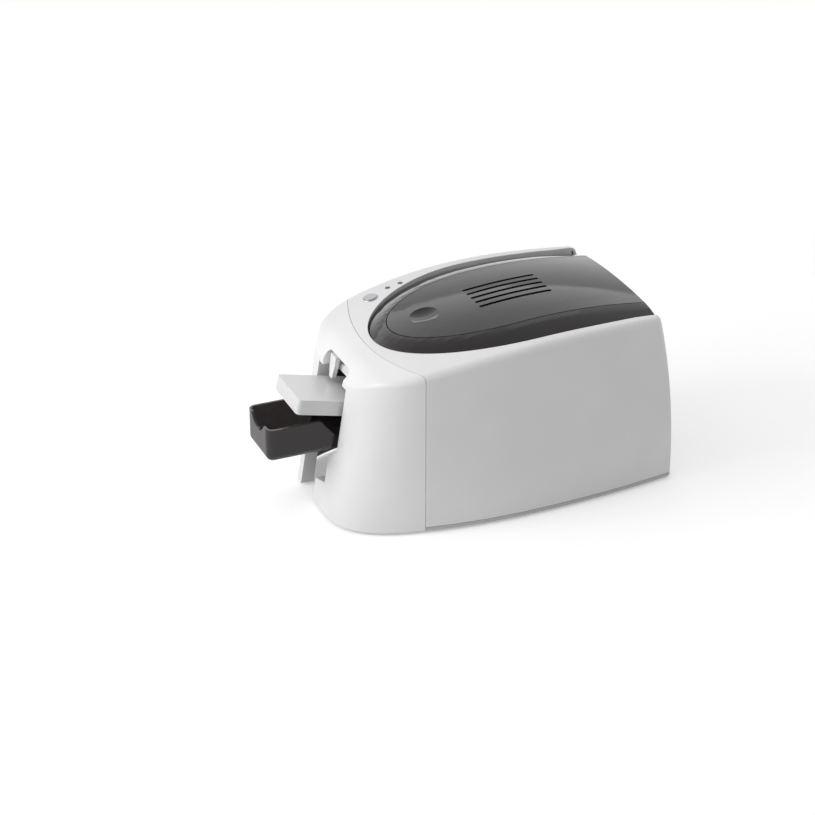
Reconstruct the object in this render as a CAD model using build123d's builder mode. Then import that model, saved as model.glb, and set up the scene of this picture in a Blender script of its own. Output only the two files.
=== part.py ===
from build123d import *
import math
import os

# A desktop printer for plastic cards, in millimetres. The front faces -Y, the lid is on top and
# +X is the right-hand side of a person who stands behind it. The origin is on the table, under
# the middle of the printer's box.

# ---------------------------------------------------------------------------------------------
# Housing
# ---------------------------------------------------------------------------------------------
WALL = 2.5                  # thickness of the moulded shells
SEAM_GAP = 0.35             # open line between two shells
FOOT_Z = 2.6                # underside of the base pan, above the table
PAN_EDGE = 3.2              # height of the base pan's visible edge

FRONT_FOOT_Y = -131.5       # front wall where it meets the table plane
FRONT_LEAN = math.tan(math.radians(9.2))
FRONT_FLAT = 28.0           # half width of the flat middle of the front
SEAM_HALF = 87.8            # half width at the side seams
SEAM_Y = -58.0              # where the side wall starts to turn into the front corner
CORNER_SHARE_X = 0.68       # how full the front corners are, across
CORNER_SHARE_Y = 0.735      # and along
BELLY_HALF = 96.2           # half width at the fullest place of the barrel-shaped sides
BELLY_Y = 30.0
REAR_HALF = 84.0
REAR_Y = 181.0
REAR_FOOT_Z = 10.0          # below this height the rear wall is upright
REAR_R = 575.0              # radius of the rear wall, seen from the side
REAR_CORNER_R = 8.0
TOP_ROUND = 6.0             # rounding between the walls and the top

CREST_Y = 80.0              # highest line of the top frame
CREST_Z = 165.8
CREST_FRONT_R = 672.0       # side-view radius of the top, forward of the crest
CREST_REAR_R = 1200.0       # and behind it
BROW_Y = -90.0              # where the top starts to turn down to the front
BROW_R = 30.0
BROW_TURN = 36.0            # degrees

SEAM_ARC_R = 209.0          # plan radius of the seam between front fascia and main cover
SEAM_TIP_Y = -81.0          # the seam's foremost point

# ---------------------------------------------------------------------------------------------
# Lid
# ---------------------------------------------------------------------------------------------
LID_APEX_Y = 78.2
LID_APEX_Z = 174.1
LID_LONG_R = 497.0          # side-view radius of the lid's middle line
LID_CROSS_R = 450.0         # radius of the lid's panel, seen from the front
LID_HALF = 82.5             # half width of the lid's outline
LID_NOSE = 117.0            # length of the outline's half-elliptic nose
LID_NOSE_Y = 44.0           # where the nose ends
LID_SIDE_R = 1000.0         # the outline's sides draw in towards the rear on this radius
GROOVE_HALF = 57.0          # the same sizes for the groove around the lid's panel
GROOVE_NOSE = 96.0
GROOVE_NOSE_Y = 37.0
GROOVE_SIDE_R = 4000.0
BAND_DROP = 4.4             # how far the band between groove and edge falls away
LID_WALL = 2.4
LID_GAP = 0.9               # open line between the lid and the main cover
GROOVE_GAP = 0.8
SKIRT_DEPTH = 12.0
SWING_FRONT_Y = 138.0       # the cover's opening stays this wide up to SWING_REAR_Y
SWING_REAR_Y = 162.0
SWING_FOOT = 3.5            # above the hinge's axis
LEDGE_WIDTH = 5.0
LEDGE_WALL = 2.0
RIM_WALL = 2.0              # wall round the ribbon bay, under the cover's edge
RIM_Z = 142.0
MIDDLE_HALF = 5.0            # lines this near the middle run straight across the top
WALL_EDGE_MIN = 130.0       # upright edges of the rear corners are longer than this
TOP_EDGE_Z = 95.0           # edges of the top lie above this height
GRID_STEP = 6.0             # spacing of the points that carry the lid's surface



# ---------------------------------------------------------------------------------------------
# Front mouth: the outline is drawn on the leaning front, x across and v up the slope
# ---------------------------------------------------------------------------------------------
MOUTH_HALF = 31.0
MOUTH_TOP = 122.0
POCKET_HALF = 22.0          # the gauge pocket above the mouth, at its foot
POCKET_TOP_HALF = 25.0
POCKET_TOP = 135.5
POCKET_ROUND = 4.0
SHOULDER_TOP = 64.0         # the right jamb steps in over a sloping shoulder
SHOULDER_FOOT = 55.0
LIP_SIDE = 16.0             # lower right jamb
LIP_TOP = 28.0              # top of the lip beside the jamb
LIP_END = -3.5              # the lip ends here, and the front is open beside it
LIP_END_TOP = 23.0
NOTCH_SIDE = -33.0          # far side of the notch that reaches the front's lower edge
JAMB_DEPTH = 12.0
JAMB_WALL = 2.2

# ---------------------------------------------------------------------------------------------
# Cards and feeder: drawn on the feeder's inclined floor, s inwards and n up from the floor
# ---------------------------------------------------------------------------------------------
CARD_WIDTH = 54.0
CARD_LENGTH = 85.6
CARD_CORNER_R = 3.2
CARD_WALL = 0.76
STACK_COUNT = 18
STACK_FRONT_S = -44.0       # the stack is half way in
STACK_FLOAT = 0.4           # clearance between the stack and the floor
FEED_Y = -112.5             # origin of the inclined floor
FEED_Z = 95.0
FEED_TILT = 13.1            # degrees, down towards the rear
FEEDER_START = 10.0
FEEDER_END = 86.0
FEEDER_FLOOR = 2.2
FEEDER_WALL = 2.2
FEEDER_CLEAR = 0.6          # between the cards' edges and the side guides
FEEDER_SIDE = 19.0          # height of the side guides
FEEDER_TAB = 12.0           # length of the tabs that reach the side plates
GATE_WALL = 2.0
GATE_SLIT = 1.1             # one card passes under the gate
GATE_TOP = 20.0

# ---------------------------------------------------------------------------------------------
# Mechanism between the side plates
# ---------------------------------------------------------------------------------------------
PLATE_IN = 38.0             # inner faces of the side plates
PLATE_WALL = 1.5
PLATE_FRONT_Y = -100.0
PLATE_STEP_Z = 50.0         # the plates step back below this height
PLATE_FRONT_FOOT_Y = -68.0
PLATE_DECK_Z = 98.0
SPOOL_HORN = 22.0           # half length of the horns that carry the spools, at their foot
HORN_DRAFT = 8.0
HORN_RISE = 14.0            # the horns end this far above the spools' axes
PATH_Z = 72.1               # card path, under the print head
SHAFT_R = 3.0
RUN_CLEAR = 0.05            # radial clearance of every running fit
BUSH_WALL = 1.5
BUSH_FLANGE = 1.0
BUSH_LIP = 0.6
ROLLER_END = 28.0           # half length of the wide rollers
NARROW_END = 12.0           # and of the narrow ones
FEED_S = 51.8               # feed roller, along the feeder
FEED_R = 6.2
FEED_CLEAR = 0.2            # more play between the feed roller and the stack
TRANSPORT_Y = -14.0
TRANSPORT_R = 7.0
PLATEN_Y = 24.0
PLATEN_R = 8.0
EXIT_R = 6.5
EXIT_ANGLE = 230.0          # direction from the feed roller to the exit roller, degrees
NIP = 1.0                   # open height between a roller and the one above it
ROLLER_SINK = 0.1           # the rollers' tops lie this far under the card path
SHEET = 1.2                 # thickness of the card guides
SHEET_DROP = 0.3            # the guides lie this far under the card path
RETURN_TILT = 4.2           # degrees, the way out slopes down to the tray
RETURN_FRONT_Y = -88.0
RETURN_REAR_Y = -24.0
TRACK_FRONT_Y = -5.0
TRACK_REAR_Y = 110.0
SLOT_CLEAR = 1.5            # between a roller and the slot in its guide

GEAR_MODULE = 1.0
GEAR_ADDENDUM = 0.9
GEAR_DEDENDUM = 1.15
GEAR_BACKLASH = 0.6
GEAR_FLANK = math.tan(math.radians(20))
GEAR_IN = 41.0              # inner face of the first row of gears
GEAR_WIDTH = 4.0
GEAR_ROW = 5.0              # pitch from the first row to the second
ROLLER_TEETH = 24
EXIT_TEETH = 18
LINK_TEETH = 18             # idler between platen and transport roller
FEED_LINK_TEETH = 28        # idler between transport and feed roller
PINION_TEETH = 12
BIG_TEETH = 48
SMALL_TEETH = 14
BIG_ANGLE = -38.0           # direction from the platen to the reduction gear, degrees
MOTOR_ANGLE = 0.0           # and from the reduction gear to the motor
TAKE_UP_TEETH = 30
TAKE_UP_LINK_TEETH = 27
PIN_R = 2.5

MOTOR_R = 17.5
MOTOR_LENGTH = 22.0
MOTOR_HOLE_R = 6.0
MOTOR_SHAFT_R = 2.5

# ---------------------------------------------------------------------------------------------
# Ribbon
# ---------------------------------------------------------------------------------------------
SUPPLY_Y = 75.0
SUPPLY_Z = 110.0
SUPPLY_ROLL_R = 13.5
TAKE_UP_Y = -30.0
TAKE_UP_Z = 116.0
TAKE_UP_ROLL_R = 8.5
SPOOL_CORE_R = 6.0
SPOOL_END = 34.0
RIBBON_HALF = 30.5
SPOOL_STUB_R = 4.0
SPOOL_FLANGE_R = 15.0
SPOOL_FLANGE = 1.5
FILM = 0.3
FILM_CLEAR = 0.3
FILM_FRONT_Y = 12.0
FILM_REAR_Y = 36.0

# ---------------------------------------------------------------------------------------------
# Print head, hung under the lid's panel
# ---------------------------------------------------------------------------------------------
HEAD_HALF = 30.0
HEAD_FRONT_Y = 14.0
HEAD_REAR_Y = 34.0
HEAD_HEIGHT = 7.4
HEAD_CLEAR = 0.3            # print head above the film
HEAD_EDGE = 1.2             # height of the heater strip under the head's block
HEAD_EDGE_WIDTH = 4.0
BRACKET_HALF = 33.5
BRACKET_SHEET = 1.5
BRACKET_MARGIN = 4.0        # the bracket is longer than the head at both ends
BRACKET_GAP = 4.0           # room for the springs
BRACKET_TOP = 158.0
LID_BOSS_R = 4.0
BOSS_X = 22.0
SPRING_R = 3.4
SPRING_WIRE = 0.8
SPRING_TURNS = 3
SPRING_X = 18.0
GUIDE_POST_R = 1.8
GUIDE_HOLE_CLEAR = 0.2

# ---------------------------------------------------------------------------------------------
# Output tray and its guide
# ---------------------------------------------------------------------------------------------
TRAY_FRONT_Y = -181.0
TRAY_REAR_Y = -92.0
TRAY_HALF = 26.0
TRAY_FLOOR_Z = 62.8
TRAY_TOP_Z = 94.0
TRAY_LOW_Z = 75.0           # the sides step down inside the mouth
TRAY_STEP_Y = -117.5
TRAY_SLOPE = 50.0           # degrees
TRAY_WALL = 2.0
TRAY_ROUND = 6.0
TRAY_CORNER_R = 7.0
SCOOP_R = 17.0
SCOOP_DEPTH = 9.0
RAMP_X = 13.0               # the ramps that carry the cards stand at -x, 0 and +x
RAMP_WALL = 1.6
RAMP_FRONT_Y = -166.0
RAMP_REAR_Y = -118.0
RAMP_RISE = 8.0
GUIDE_CLEAR = 0.5
GUIDE_WALL = 2.2
GUIDE_FRONT_Y = -106.5
GUIDE_REAR_Y = -89.0
GUIDE_TOP_Z = 77.0
GUIDE_TAB = 7.0             # length of the tabs that reach the side plates

# ---------------------------------------------------------------------------------------------
# Button, lights and gauge tab
# ---------------------------------------------------------------------------------------------
BUTTON_X = -70.0
BUTTON_Y = -47.3
BUTTON_R = 5.9
BUTTON_CLEAR = 0.3
BUTTON_CAP = 4.0
BUTTON_ROUND = 0.8
BUTTON_PROUD = 0.8          # the button stands this far above its ring
BUTTON_REACH = 15.5         # from the button's top to the end of its stem
BUTTON_STEM_R = 2.5
RING_R = 7.2
RING_HEIGHT = 3.2
RING_PROUD = 0.4
LIGHT_R = 2.3
LIGHT_PLACES = ((-76.6, -28.0), (-77.6, -15.3))
SMALL_BOARD_Z = 132.0       # board under the button and the lights
SMALL_BOARD_LEFT = -84.0
SMALL_BOARD_RIGHT = -62.0
SMALL_BOARD_FRONT = -54.0
SMALL_BOARD_REAR = -10.0
POST_PLACES = ((-81.5, -38.0), (-70.5, -33.0))
LIGHT_CLEAR = 0.1
BOARD_WALL = 1.6
SWITCH_SIZE = 6.0
SWITCH_HEIGHT = 3.0
TAB_X = -19.5               # left side of the gauge tab
TAB_WIDTH = 11.0
TAB_FOOT = 112.6
TAB_TOP = 133.0
TAB_TIP = 6.0
TAB_FRONT = 5.0             # depth of the tab's faces behind the front wall
TAB_BACK = 9.0
TAB_STEM_Z = 128.0
TAB_HEAD = 2.0
TAB_TRAVEL = 8.0
TAB_CLEAR = 0.3
TAB_STEM = 4.0

# ---------------------------------------------------------------------------------------------
# Hinge, rear panel, feet, boards
# ---------------------------------------------------------------------------------------------
HINGE_Y = 152.0
HINGE_Z = 150.0
HINGE_PIN_R = 2.5
KNUCKLE_IN = 66.0
KNUCKLE_R = 6.0
EAR_WALL = 4.0
REAR_SKIRT_Z = 141.5
REAR_OPEN_Z = 138.0
PANEL_HALF = 66.0
PANEL_CLEAR = 0.3
FOOT_R = 8.0
FOOT_X = 62.0
FOOT_FRONT_Y = -58.0
FOOT_REAR_Y = 156.0
MAIN_BOARD_Z = 16.0
MAIN_BOARD_HALF = 60.0
MAIN_BOARD_FRONT_Y = 118.0
MAIN_BOARD_REAR_Y = 174.0
SOCKET_Z = 25.0
SOCKET_SEAT = 10.0          # length of the sockets' bodies on the board
INLET_DEPTH = 9.0
CHIP_X = 20.0
CHIP_Y = 145.0
CHIP_SIZE = 16.0
CHIP_HEIGHT = 2.0
CAPACITOR_R = 5.0
CAPACITOR_HEIGHT = 12.0
INLET_X = -42.0
INLET_R = 5.5
INLET_BORE_R = 3.2
INLET_PIN_R = 1.0
DATA_X = -14.0
DATA_WIDTH = 12.0
DATA_HEIGHT = 11.0
DATA_WALL = 1.0
LOCK_X = 40.0               # slot for a security lock
LOCK_LENGTH = 7.0
LOCK_WIDTH = 3.0
POST_R = 2.5                # posts that carry the boards
POST_INSET = 5.0
VENT_COUNT = 9
VENT_PITCH = 7.0
VENT_WIDTH = 3.0
VENT_HEIGHT = 26.0
VENT_Z = 84.0
SLOT_COUNT = 5
SLOT_PITCH = 8.85
SLOT_WIDTH = 3.4
SLOT_FRONT_Y = 18.2
SLOT_REAR_Y = 87.3
DIMPLE_Y = -26.0
DIMPLE_R = 13.5
DIMPLE_DEPTH = 2.6


def rear_y(z, inset=0.0):
    """Y of the rear wall's outer face at height z, drawn in by inset."""
    rise = max(0.0, z - REAR_FOOT_Z)
    return REAR_Y - REAR_R + math.sqrt(REAR_R**2 - rise**2) - inset


def top_z(y):
    """Height of the top frame at y, forward of the crest or behind it."""
    radius = CREST_FRONT_R if y < CREST_Y else CREST_REAR_R
    return CREST_Z - radius + math.sqrt(radius**2 - (y - CREST_Y) ** 2)


def front_y(z):
    """Y of the front wall's outer face, in its flat middle, at height z."""
    return FRONT_FOOT_Y + z * FRONT_LEAN


def plan_sketch(z, inset):
    """Plan outline of the housing at height z, drawn in by inset."""
    front = front_y(z) + inset
    side = SEAM_HALF - inset
    belly = BELLY_HALF - inset
    rear = REAR_Y - inset
    rear_half = REAR_HALF - inset
    corner_x = FRONT_FLAT + CORNER_SHARE_X * (side - FRONT_FLAT)
    corner_y = SEAM_Y - CORNER_SHARE_Y * (SEAM_Y - front)
    turn = 2 * math.atan2(BELLY_HALF - SEAM_HALF, BELLY_Y - SEAM_Y)
    with BuildSketch(Plane.XY.offset(z)) as plan:
        with BuildLine():
            Spline(
                (FRONT_FLAT, front),
                (corner_x, corner_y),
                (side, SEAM_Y),
                tangents=[(1, 0), (math.sin(turn), math.cos(turn))],
            )
            TangentArc((belly, BELLY_Y), (side, SEAM_Y), tangent=(0, -1))
            TangentArc((belly, BELLY_Y), (rear_half, rear), tangent=(0, 1))
            mirror(about=Plane.YZ)
            Line((-FRONT_FLAT, front), (FRONT_FLAT, front))
            Line((-rear_half, rear), (rear_half, rear))
        make_face()
    return plan.sketch


def side_sketch(inset, low):
    """Side view of the housing, drawn in by inset and open down to low."""
    rear_top = rear_y(top_z(REAR_Y))
    rear_top_z = top_z(rear_top)
    rear_top = rear_y(rear_top_z)
    brow_z = top_z(BROW_Y)
    with BuildSketch(Plane.YZ.offset(-BELLY_HALF - WALL)) as side:
        with BuildLine():
            nose = TangentArc((CREST_Y, CREST_Z), (BROW_Y, brow_z), tangent=(-1, 0))
            brow = JernArc(nose @ 1, nose % 1, BROW_R, BROW_TURN)
            visor = Line(brow @ 1, brow @ 1 + (brow % 1) * 2 * BROW_R)
            Line(visor @ 1, ((visor @ 1).X, low))
            Line(((visor @ 1).X, low), (REAR_Y, low))
            Line((REAR_Y, low), (REAR_Y, REAR_FOOT_Z))
            TangentArc((REAR_Y, REAR_FOOT_Z), (rear_top, rear_top_z), tangent=(0, 1))
            TangentArc((CREST_Y, CREST_Z), (rear_top, rear_top_z), tangent=(1, 0))
        make_face()
        if inset:
            offset(amount=-inset, kind=Kind.INTERSECTION, mode=Mode.REPLACE)
    return side.sketch


def is_cross_line(edge):
    """True for the lines that run straight across the top, between its smooth arcs."""
    box = edge.bounding_box()
    return box.size.Y < SEAM_GAP and abs(edge.center().X) < MIDDLE_HALF and edge.center().Y < HINGE_Y


def housing_form(inset, low, high):
    """Solid of the housing, drawn in by inset, from height low to its top."""
    with BuildPart() as form:
        add(plan_sketch(low, inset))
        add(plan_sketch(high, inset))
        loft(ruled=True)
        add(side_sketch(inset, low - 2 * WALL))
        extrude(amount=2 * (BELLY_HALF + WALL), dir=(1, 0, 0), mode=Mode.INTERSECT)
        upright = form.edges().filter_by(lambda edge: edge.bounding_box().min.Y > HINGE_Y)
        upright = upright.filter_by(lambda edge: edge.bounding_box().size.Z > WALL_EDGE_MIN)
        fillet(upright, REAR_CORNER_R - inset)
        tops = form.edges().filter_by(lambda edge: edge.bounding_box().min.Z > TOP_EDGE_Z)
        fillet(tops.filter_by(lambda edge: not is_cross_line(edge)), TOP_ROUND - inset)
    return form.part


def seam_zone(change):
    """Upright cylinder whose front is the seam, with its radius changed by change."""
    with BuildPart() as zone:
        with BuildSketch(Plane.XY):
            with Locations((0, SEAM_TIP_Y + SEAM_ARC_R)):
                Circle(SEAM_ARC_R + change)
        extrude(amount=2 * CREST_Z)
    return zone.part


def lean_slab(start, end):
    """Slab that leans with the front wall, from depth start to depth end behind its outer face."""
    with BuildPart() as slab:
        with BuildSketch(Plane.YZ.offset(-BELLY_HALF)):
            with BuildLine():
                Polyline(
                    (front_y(0) + start, 0),
                    (front_y(0) + end, 0),
                    (front_y(CREST_Z) + end, CREST_Z),
                    (front_y(CREST_Z) + start, CREST_Z),
                    close=True,
                )
            make_face()
        extrude(amount=2 * BELLY_HALF, dir=(1, 0, 0))
    return slab.part


def mouth_prism(grow):
    """Prism of the front mouth's outline, widened by grow, from the front wall inwards."""
    with BuildPart() as prism:
        with BuildSketch(Plane.XZ.offset(-front_y(0) + WALL)):
            with BuildLine():
                Polyline(
                    (-MOUTH_HALF, MOUTH_TOP),
                    (-POCKET_HALF, MOUTH_TOP),
                    (-POCKET_TOP_HALF, POCKET_TOP),
                    (POCKET_TOP_HALF, POCKET_TOP),
                    (POCKET_HALF, MOUTH_TOP),
                    (MOUTH_HALF, MOUTH_TOP),
                    (MOUTH_HALF, SHOULDER_TOP),
                    (LIP_SIDE, SHOULDER_FOOT),
                    (LIP_SIDE, LIP_TOP),
                    (LIP_END, LIP_END_TOP),
                    (LIP_END, -FOOT_Z),
                    (NOTCH_SIDE, -FOOT_Z),
                    close=True,
                )
            make_face()
            corners = vertices().group_by(Axis.Y)[-1]
            fillet(corners, POCKET_ROUND)
            if grow:
                offset(amount=grow, kind=Kind.INTERSECTION, mode=Mode.REPLACE)
        extrude(amount=-(WALL + CREST_Z * FRONT_LEAN + JAMB_DEPTH + WALL))
    return prism.part


def lid_outline(half, nose, nose_y, side_r, inset):
    """Plan outline of the lid or of its groove, drawn in by inset and open to the rear."""
    end = REAR_Y + WALL
    turn = math.degrees(math.asin((end - nose_y) / (side_r - inset)))
    with BuildSketch(Plane.XY) as outline:
        with BuildLine():
            EllipticalCenterArc((0, nose_y), half - inset, nose - inset, start_angle=180, arc_size=180)
            right = JernArc((half - inset, nose_y), (0, 1), side_r - inset, turn)
            left = JernArc((inset - half, nose_y), (0, 1), side_r - inset, -turn)
            Line(right @ 1, left @ 1)
        make_face()
    return outline.sketch


def lid_prism(inset, low, high):
    """Upright prism of the lid's outline."""
    with BuildPart() as prism:
        add(lid_outline(LID_HALF, LID_NOSE, LID_NOSE_Y, LID_SIDE_R, inset).moved(Location((0, 0, low))))
        extrude(amount=high - low)
    return prism.part


def groove_prism(inset, low, high):
    """Upright prism of the outline of the lid's groove."""
    with BuildPart() as prism:
        outline = lid_outline(GROOVE_HALF, GROOVE_NOSE, GROOVE_NOSE_Y, GROOVE_SIDE_R, inset)
        add(outline.moved(Location((0, 0, low))))
        extrude(amount=high - low)
    return prism.part


def share(x, y, half, nose, nose_y, side_r):
    """Place of (x, y) between the middle line (0) and an outline of the lid (1)."""
    if y < nose_y:
        return math.hypot(x / half, (nose_y - y) / nose)
    return abs(x) / (half - (y - nose_y) ** 2 / (2 * side_r))


def lid_z(x, y):
    """Height of the lid's outer surface."""
    inner_share = share(x, y, GROOVE_HALF, GROOVE_NOSE, GROOVE_NOSE_Y, GROOVE_SIDE_R)
    outer_share = share(x, y, LID_HALF, LID_NOSE, LID_NOSE_Y, LID_SIDE_R)
    height = LID_APEX_Z - (y - LID_APEX_Y) ** 2 / (2 * LID_LONG_R) - x**2 / (2 * LID_CROSS_R)
    if inner_share > 1:
        height -= BAND_DROP * ((inner_share - 1) / (inner_share - outer_share)) ** 2
    return height


def lid_skin():
    """The lid's outer surface, a little wider than the lid."""
    half_steps = math.ceil((LID_HALF + LID_GAP) / GRID_STEP)
    front = LID_NOSE_Y - LID_NOSE - LID_GAP
    long_steps = math.ceil((REAR_Y - front) / GRID_STEP)
    places = [front + j * GRID_STEP for j in range(long_steps + 1)]
    points = []
    for i in range(-half_steps, half_steps + 1):
        x = i * GRID_STEP
        points.append([Vector(x, y, lid_z(x, y)) for y in places])
    return Face.make_surface_from_array_of_points(points, tol=SEAM_GAP / 10)


def lid_dome(drop, depth):
    """Solid under the lid's surface, which is lowered by drop, with its underside depth lower."""
    return Solid.extrude(skin.moved(Location((0, 0, -drop))), Vector(0, 0, -depth))


def rear_zone(inset):
    """Everything in front of the rear wall's arc, drawn in by inset."""
    with BuildPart() as zone:
        with BuildSketch(Plane.YZ.offset(-BELLY_HALF)):
            with Locations((REAR_Y - REAR_R, REAR_FOOT_Z)):
                Circle(REAR_R - inset)
        extrude(amount=2 * BELLY_HALF, dir=(1, 0, 0))
    return zone.part


def wide_layer(low, high):
    """Box as wide as the housing between two heights."""
    with BuildPart() as layer:
        with BuildSketch(Plane.XY.offset(low)):
            Rectangle(2 * BELLY_HALF, 2 * REAR_Y)
        extrude(amount=high - low)
    return layer.part


def stem_block(width, height):
    """Bar of the gauge tab's stem, running inwards."""
    with BuildPart() as block:
        with BuildSketch(Plane.XZ.offset(-front_y(0))):
            with Locations((TAB_X + TAB_WIDTH / 2, TAB_STEM_Z)):
                Rectangle(width, height)
        extrude(amount=-BELLY_HALF)
    return block.part


def panel_bosses():
    """Bosses under the lid's panel that carry the print head's bracket."""
    with BuildPart() as bosses:
        with BuildSketch(Plane.XY.offset(BRACKET_TOP)):
            with Locations((0, (HEAD_FRONT_Y + HEAD_REAR_Y) / 2)):
                with GridLocations(2 * BOSS_X, HEAD_REAR_Y - HEAD_FRONT_Y, 2, 2):
                    Circle(LID_BOSS_R)
        extrude(amount=LID_APEX_Z - BRACKET_TOP)
        add(lid_dome(LID_WALL / 2, LID_APEX_Z), mode=Mode.INTERSECT)
    return bosses.part


def knuckle_block(side):
    """Knuckle of the lid's hinge with its web up to the lid, right (1) or left (-1)."""
    with BuildPart() as block:
        with BuildSketch(Plane.YZ.offset(side * KNUCKLE_IN)):
            with Locations((HINGE_Y, HINGE_Z)):
                Circle(KNUCKLE_R)
            with Locations((HINGE_Y, HINGE_Z + SKIRT_DEPTH / 2)):
                Rectangle(KNUCKLE_R, SKIRT_DEPTH)
        extrude(amount=side * (LID_HALF - KNUCKLE_IN))
        add(lid_dome(LID_WALL / 2, LID_APEX_Z), mode=Mode.INTERSECT)
        add(lid_prism(LID_WALL / 2, 0, LID_APEX_Z), mode=Mode.INTERSECT)
    return block.part


os.makedirs("parts", exist_ok=True)

outer = housing_form(0.0, FOOT_Z, CREST_Z + WALL)
inner = housing_form(WALL, FOOT_Z - WALL, CREST_Z + WALL)
shell = outer - inner
skin = lid_skin()
pan_top = FOOT_Z + PAN_EDGE

lid_space = lid_dome(0, LID_APEX_Z) & lid_prism(0, REAR_SKIRT_Z - 4 * WALL, LID_APEX_Z + WALL) & rear_zone(0)
hinge_side = LID_HALF - (HINGE_Y - LID_NOSE_Y) ** 2 / (2 * LID_SIDE_R)
ear_in = hinge_side + LID_GAP
swing_half = LID_HALF - (SWING_FRONT_Y - LID_NOSE_Y) ** 2 / (2 * LID_SIDE_R) + LID_GAP
button_slope = math.asin((CREST_Y - BUTTON_Y) / CREST_FRONT_R)
button_plane = Plane(
    origin=(BUTTON_X, BUTTON_Y, top_z(BUTTON_Y)),
    x_dir=(1, 0, 0),
    z_dir=(0, -math.sin(button_slope), math.cos(button_slope)),
)

# ---------------------------------------------------------------------------------------------
# Main cover: the white top frame and both sides, with the rim round the ribbon bay
# ---------------------------------------------------------------------------------------------
with BuildPart() as main_cover:
    add(shell)
    add(seam_zone(-SEAM_GAP / 2), mode=Mode.INTERSECT)
    add(lid_prism(-LID_GAP - RIM_WALL, RIM_Z, CREST_Z) & outer & seam_zone(-SEAM_GAP / 2))
    add(lid_prism(-LID_GAP, RIM_Z, CREST_Z + WALL), mode=Mode.SUBTRACT)
    # the hinge's ears, outside the rim
    with BuildSketch(Plane.YZ.offset(ear_in)):
        with Locations((HINGE_Y, HINGE_Z)):
            Circle(KNUCKLE_R)
    extrude(amount=EAR_WALL)
    with BuildSketch(Plane.YZ.offset(-ear_in - EAR_WALL)):
        with Locations((HINGE_Y, HINGE_Z)):
            Circle(KNUCKLE_R)
    extrude(amount=EAR_WALL)
    with BuildSketch(Plane.YZ.offset(-ear_in - EAR_WALL)):
        with Locations((HINGE_Y, HINGE_Z)):
            Circle(HINGE_PIN_R)
    extrude(amount=2 * (ear_in + EAR_WALL), mode=Mode.SUBTRACT)
    # posts that carry the small board
    with BuildSketch(Plane.XY.offset(SMALL_BOARD_Z + BOARD_WALL)):
        with Locations(*POST_PLACES):
            Circle(POST_R)
    extrude(until=Until.NEXT)
    # the lower edge stands over the base pan
    with BuildSketch(Plane.XY):
        Rectangle(2 * BELLY_HALF, 2 * REAR_Y)
    extrude(amount=pan_top + SEAM_GAP, mode=Mode.SUBTRACT)
    # openings for the rear panel and, above it, for the lid's rear wall
    with BuildSketch(Plane.XZ.offset(-REAR_Y)):
        with Locations((0, REAR_OPEN_Z / 2)):
            Rectangle(2 * PANEL_HALF, REAR_OPEN_Z)
    extrude(amount=REAR_Y - HINGE_Y, mode=Mode.SUBTRACT)
    with BuildSketch(Plane.XY.offset(REAR_OPEN_Z)):
        with Locations((0, REAR_Y)):
            Rectangle(2 * ear_in, 2 * (REAR_Y - HINGE_Y - KNUCKLE_R))
    extrude(amount=CREST_Z, mode=Mode.SUBTRACT)
    # room beside the hinge for the lid's wider front part, which swings back as it opens
    with BuildSketch(Plane.XY.offset(HINGE_Z + SWING_FOOT)):
        with Locations((0, (SWING_FRONT_Y + SWING_REAR_Y) / 2)):
            Rectangle(2 * swing_half, SWING_REAR_Y - SWING_FRONT_Y)
    extrude(amount=CREST_Z, mode=Mode.SUBTRACT)
    # holes for the button's ring and the lights
    with BuildSketch(button_plane.offset(-2 * WALL)):
        Circle(RING_R)
    extrude(amount=4 * WALL, mode=Mode.SUBTRACT)
    with BuildSketch(Plane.XY.offset(RIM_Z)):
        with Locations(*LIGHT_PLACES):
            Circle(LIGHT_R + LIGHT_CLEAR)
    extrude(amount=CREST_Z - RIM_Z, mode=Mode.SUBTRACT)
main_cover.part.label = "main_cover"
export_step(main_cover.part, "parts/main_cover.step")

# ---------------------------------------------------------------------------------------------
# Front fascia with the mouth, its deep jambs and the pocket of the card gauge
# ---------------------------------------------------------------------------------------------
with BuildPart() as front_fascia:
    add(shell)
    add(seam_zone(SEAM_GAP / 2), mode=Mode.SUBTRACT)
    add(mouth_prism(JAMB_WALL) & outer & lean_slab(0, JAMB_DEPTH))
    add(mouth_prism(0), mode=Mode.SUBTRACT)
    add(mouth_prism(JAMB_WALL) & wide_layer(MOUTH_TOP - JAMB_WALL, POCKET_TOP + JAMB_WALL)
        & lean_slab(JAMB_DEPTH, JAMB_DEPTH + JAMB_WALL))
    with BuildSketch(Plane.XZ.offset(-front_y(0))):
        with Locations((TAB_X + TAB_WIDTH / 2 + TAB_TRAVEL / 2, TAB_STEM_Z)):
            Rectangle(TAB_STEM + TAB_TRAVEL + 2 * TAB_CLEAR, TAB_STEM + 2 * TAB_CLEAR)
    extrude(amount=-(BELLY_HALF), mode=Mode.SUBTRACT)
front_fascia.part.label = "front_fascia"
export_step(front_fascia.part, "parts/front_fascia.step")

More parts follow.
